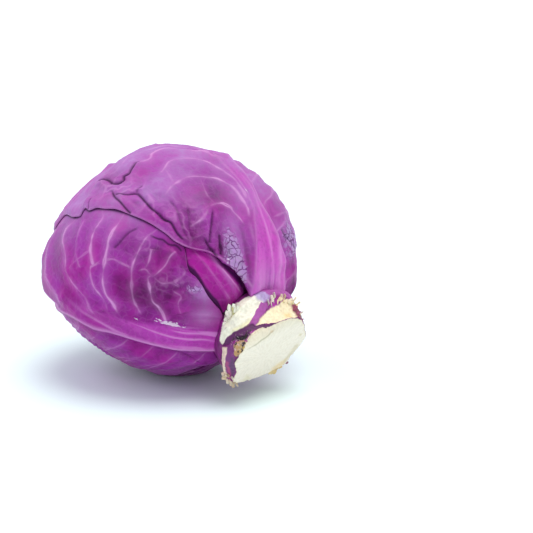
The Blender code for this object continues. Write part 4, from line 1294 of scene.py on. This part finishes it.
# Depth inside a closed outline, negative outside it: distance to the nearest side, signed by how many
# sides a line to the right crosses
def insideOutline(x, y, corners):
    nearest, crossings = np.full(x.shape, 1e9), np.zeros(x.shape, int)
    for (x1, y1), (x2, y2) in zip(corners, corners[1:] + corners[:1]):
        dx, dy = x2 - x1, y2 - y1
        t = np.clip(((x - x1) * dx + (y - y1) * dy) / (dx * dx + dy * dy + tiny**2), 0, 1)
        nearest = np.minimum(nearest, np.hypot(x - x1 - t * dx, y - y1 - t * dy))
        spans = (y1 > y) != (y2 > y)
        crossings += spans & (x < x1 + (y - y1) * dx / (dy if abs(dy) > tiny**2 else tiny**2))
    return np.where(crossings % 2 == 1, nearest, -nearest)


flatStub = {"seam": 60, "perDegree": 0.49, "lower": 12.5, "upper": 6.0}


def stubMillimetres(azimuth, s):  # the stub's side laid flat, in mm, from azimuth -300 to 60
    turned = np.where(azimuth > flatStub["seam"], azimuth - 360, azimuth)
    lower, upper = flatStub["lower"], flatStub["upper"]
    return turned * flatStub["perDegree"], np.where(s < 1, s * lower, lower + (s - 1) * upper)


def blend(colour, tone, share):  # from one colour towards another
    return colour + (np.array(tone) - colour) * share[..., None]


# 1 inside an outline, 0 outside it, over a soft edge
def insideShare(x, y, outline, toPlace, soft):
    corners = [tuple(map(float, toPlace(np.array(float(p)), np.array(float(q))))) for p, q in outline]
    return smoothStep(insideOutline(x, y, corners) / soft * 0.5 + 0.5)


# Paint the marks one over another; a mark with a height of its own takes the place of those beneath
def painted(x, y, marks, colour, toPlace):
    height = np.zeros(x.shape)
    for tone, rise, soft, strength, outline in marks:
        share = insideShare(x, y, outline, toPlace, soft) * strength
        colour = blend(colour, tone, share)
        height = height * (1 - share * (rise != 0)) + rise * share
    return colour, height


# The stub's side: colours and radii in rings. Each radius is the ring's plus flares, the marks' height, a
# shoulder at the neck and a ragged noise that grows towards the cut
def stubRings(azimuths, neckRings, sideRings):
    along = np.concatenate([np.linspace(-1, 0, neckRings), np.linspace(0, 2, sideRings)[1:]])
    s, psi = np.meshgrid(along, np.degrees(azimuths), indexing="ij")
    radius, distance = stubSide(s, psi)
    base = ringPoints(radius, distance, azimuths)
    noises = {label: waves(row, base) for label, row in stemNoise.items()
              if label in ("warpX", "warpY", "tone", "lumps", "bumps", "ragged", "flecks", "specks", "web")}
    x, y = stubMillimetres((psi + 180) % 360 - 180, s)
    x, y = x + noises["warpX"], y + noises["warpY"]
    colour = np.full((*x.shape, 3), stemShape["skin"]) * (1 + noises["tone"])[..., None]
    colour, height = painted(x, y, stemMarks, colour, stubMillimetres)
    height = height + noises["lumps"] + noises["bumps"]
    ragged = rise(s, *stemShape["raggedFrom"]) * noises["ragged"]
    middle, within, over = stemShape["freeSide"]
    free = rise(within, np.abs(psi - middle), over)
    shoulder = stemShape["shoulder"] * rise(-s, *stemShape["shoulderFade"]) * (1 - free)
    radius = radius + flareOut(s, psi) + rise(s, *stemShape["marksFrom"]) * 0.001 * height + ragged + shoulder
    colour = colour * lift(noises["flecks"], *stemShape["fleckLight"])[..., None]
    gritty = insideShare(x, y, stemGrit["outline"], stubMillimetres, stemGrit["softness"])
    width = stemGrit["fibreWidth"]
    colour = blend(colour, stemGrit["dark"], gritty * rise(noises["specks"], *stemGrit["darkRange"]))
    fibres = 0.8 * smoothStep((width - np.abs(noises["web"])) / width * 1.6)
    colour = blend(colour, stemGrit["light"], gritty * fibres)
    return radius, distance, colour


# The cut face, rings from its rim to its middle: marks, faint rays, a rounded edge and a bevel at the top
def faceRings(azimuths, rim, ringCount):
    t = np.linspace(1, 0, ringCount)[1:-1][:, None] * np.ones(len(azimuths))
    radius = rim * t
    down, across = radius * np.cos(azimuths) * 1000, radius * np.sin(azimuths) * 1000
    place = np.stack([down, across, 0 * down], -1) / 1000
    wobble = waves(stemNoise["wobble"], place)
    colour = np.full((*down.shape, 3), stemShape["cutFace"])
    colour, height = painted(down + wobble, across + 0.8 * wobble, cutMarks, colour, lambda p, q: (p, q))
    edgeShare, edgeDrop = stemShape["faceEdge"]
    edge = rise(1 - t, 0, edgeShare)
    spokes = np.stack([np.cos(azimuths) * 0.1 + 0 * t, np.sin(azimuths) * 0.1 + 0 * t, 0.3 * radius], -1)
    colour = colour * lift(waves(stemNoise["rays"], spokes), *stemShape["rayLight"])[..., None]
    colour = blend(colour, stemShape["rimTone"], (1 - edge) * 0.6)
    bevelDrop, bevelShare, upwards, sidewards = stemShape["faceBevel"]
    bevel = rise(-down, *upwards) * rise(-across, *sidewards) * rise(1 - t, 0, bevelShare)
    distance = (stemShape["outlines"][1][0] + edgeDrop * edge + bevelDrop * bevel + 0.0008 * height * edge
                + waves(stemNoise["rough"], place) * edge)
    return radius, distance, colour


# The stem: core, neck between the leaf bases, marked side, then the cut face to its middle
def makeStem():
    side = stemShape["side"]
    azimuths = circle(side)
    coreCount, neckCount, sideCount, faceCount = stemShape["rings"]
    depth = np.repeat(np.linspace(coreShape["tip"], coreShape["end"], coreCount)[:, None], side, 1)
    radius, distance, colour = stubRings(azimuths, neckCount, sideCount)
    faceRadius, faceDistance, face = faceRings(azimuths, radius[-1], faceCount)
    radii = np.concatenate([coreRadius(depth), radius, faceRadius])
    rings = ringPoints(radii, np.concatenate([depth, distance, faceDistance]), azimuths)
    cream = np.full((coreCount, side, 3), stemShape["cutFace"])
    paint = np.concatenate([cream, colour, face]).reshape(-1, 3)
    paint = np.clip(np.concatenate([paint[:1], paint, [stemShape["cutFace"]]]), 0.002, 0.95)
    middle = stemAxis * faceDistance[-1].mean()
    points = np.concatenate([[stemAxis * (coreShape["tip"] - 0.0003)], rings.reshape(-1, 3), [middle]])
    makePiece("stem_skin", points + headCentre, ringTriangles(len(radii), side), {"paint": paint},
              stemFinish("stem_finish"), "stem")


shredForm = {
    "rings": 9,
    "side": 8,
    "rooted": 0.0012,  # how deep a shred starts inside the stub
    "curl": (0.6, 0.9),
    "twist": 70,  # degrees that the flat sides turn from across the stem to along it
    "taper": (2.6, 0.6),
    "thickness": 0.00050,
    "least": 0.00004,
}


# Shreds: each a flat tapering blade along a bent path, path(t) = root + length t (outward + lean + turn) with
# the tip curling back, cross-section an ellipse whose half width goes as (1 - t^2.6)^0.6
def makeShreds():
    rings, side = shredForm["rings"], shredForm["side"]
    rows = np.array([row[:6] for row in stemShreds], float)
    radius, distance = stubSide(rows[:, 1], rows[:, 0])
    radius = radius + flareOut(rows[:, 1], rows[:, 0])
    azimuth, _, length, width, lean, turn = (column[:, None, None] for column in rows.T)
    angle = np.radians(azimuth)
    outward = np.cos(angle) * floorSide + np.sin(angle) * sideways
    along = -np.sin(angle) * floorSide + np.cos(angle) * sideways
    root = (radius[:, None, None] - shredForm["rooted"]) * outward + distance[:, None, None] * stemAxis
    t = np.linspace(0, 1, rings)[None, :, None]
    curlStart, curlMore = shredForm["curl"]
    bend = np.radians(lean) * (curlStart + curlMore * t)
    leaning = np.cos(bend) * outward + np.sin(bend) * stemAxis + np.tan(np.radians(turn)) * t * along
    path = root + (0.001 * length + shredForm["rooted"]) * t * leaning
    twisted = (azimuth > 100) | ((azimuth > -110) & (azimuth < 0))
    twist = np.radians(shredForm["twist"]) * twisted
    across = np.cos(twist) * along + (np.sin(twist) + 0.25 * np.sin(7 * t + angle * 3)) * stemAxis
    flat = np.cross(across, outward + 0 * across)
    power, flatness = shredForm["taper"]
    half = 0.0005 * width * (1 - t**power) ** flatness * (1 + 0.25 * np.sin(9 * t + angle * 5))
    half = half + shredForm["least"]
    around = circle(side)[None, None, :, None]
    thick = shredForm["thickness"] * (1.05 - t[:, :, None])
    points = (path[:, :, None] + half[:, :, None] * np.cos(around) * across[:, :, None]
              + thick * np.sin(around) * flat[:, :, None])
    count = len(stemShreds)
    body = np.concatenate([path[:, :1], points.reshape(count, -1, 3), path[:, -1:]], 1)
    size = body.shape[1]
    triangles = ringTriangles(rings, side)
    triangles = (triangles[None] + size * np.arange(count)[:, None, None]).reshape(-1, 3)
    tones = np.repeat(np.array([row[6] for row in stemShreds])[:, None], size, 1).reshape(-1, 3)
    tones = tones * (0.9 + waves(stemNoise["shredTone"], body.reshape(-1, 3)))[:, None]
    makePiece("stem_shreds", body.reshape(-1, 3) + headCentre, triangles,
              {"paint": np.clip(tones, 0.002, 0.95)}, stemFinish("shred_finish"), None)


stemLooks = {
    "grainScale": 620.0,
    "grainRange": (0.40, 0.70, 0.0, 0.16),
    "grainTone": (0.62, 0.52, 0.36),
    "bump": (0.22, 0.0005),
}


# Stem flesh: the painted colour, a little grain in colour and bump
def stemFinish(name):
    desk = NodeDesk(name)
    grain = desk.noise(desk.add("ShaderNodeTexCoord").outputs["Object"], stemLooks["grainScale"], 5.0)
    paint = desk.add("ShaderNodeAttribute", {"attribute_name": "paint"}).outputs["Color"]
    shade = desk.mix(desk.ramp(grain, *stemLooks["grainRange"]), paint, stemLooks["grainTone"], "MULTIPLY")
    desk.feed(desk.shader.inputs["Base Color"], shade)
    desk.feed(desk.shader.inputs["Normal"], desk.bump(grain, *stemLooks["bump"]))
    desk.shader.inputs["Roughness"].default_value = stemShape["roughness"]
    return desk.material


makeStem()
makeShreds()
print("stem done")
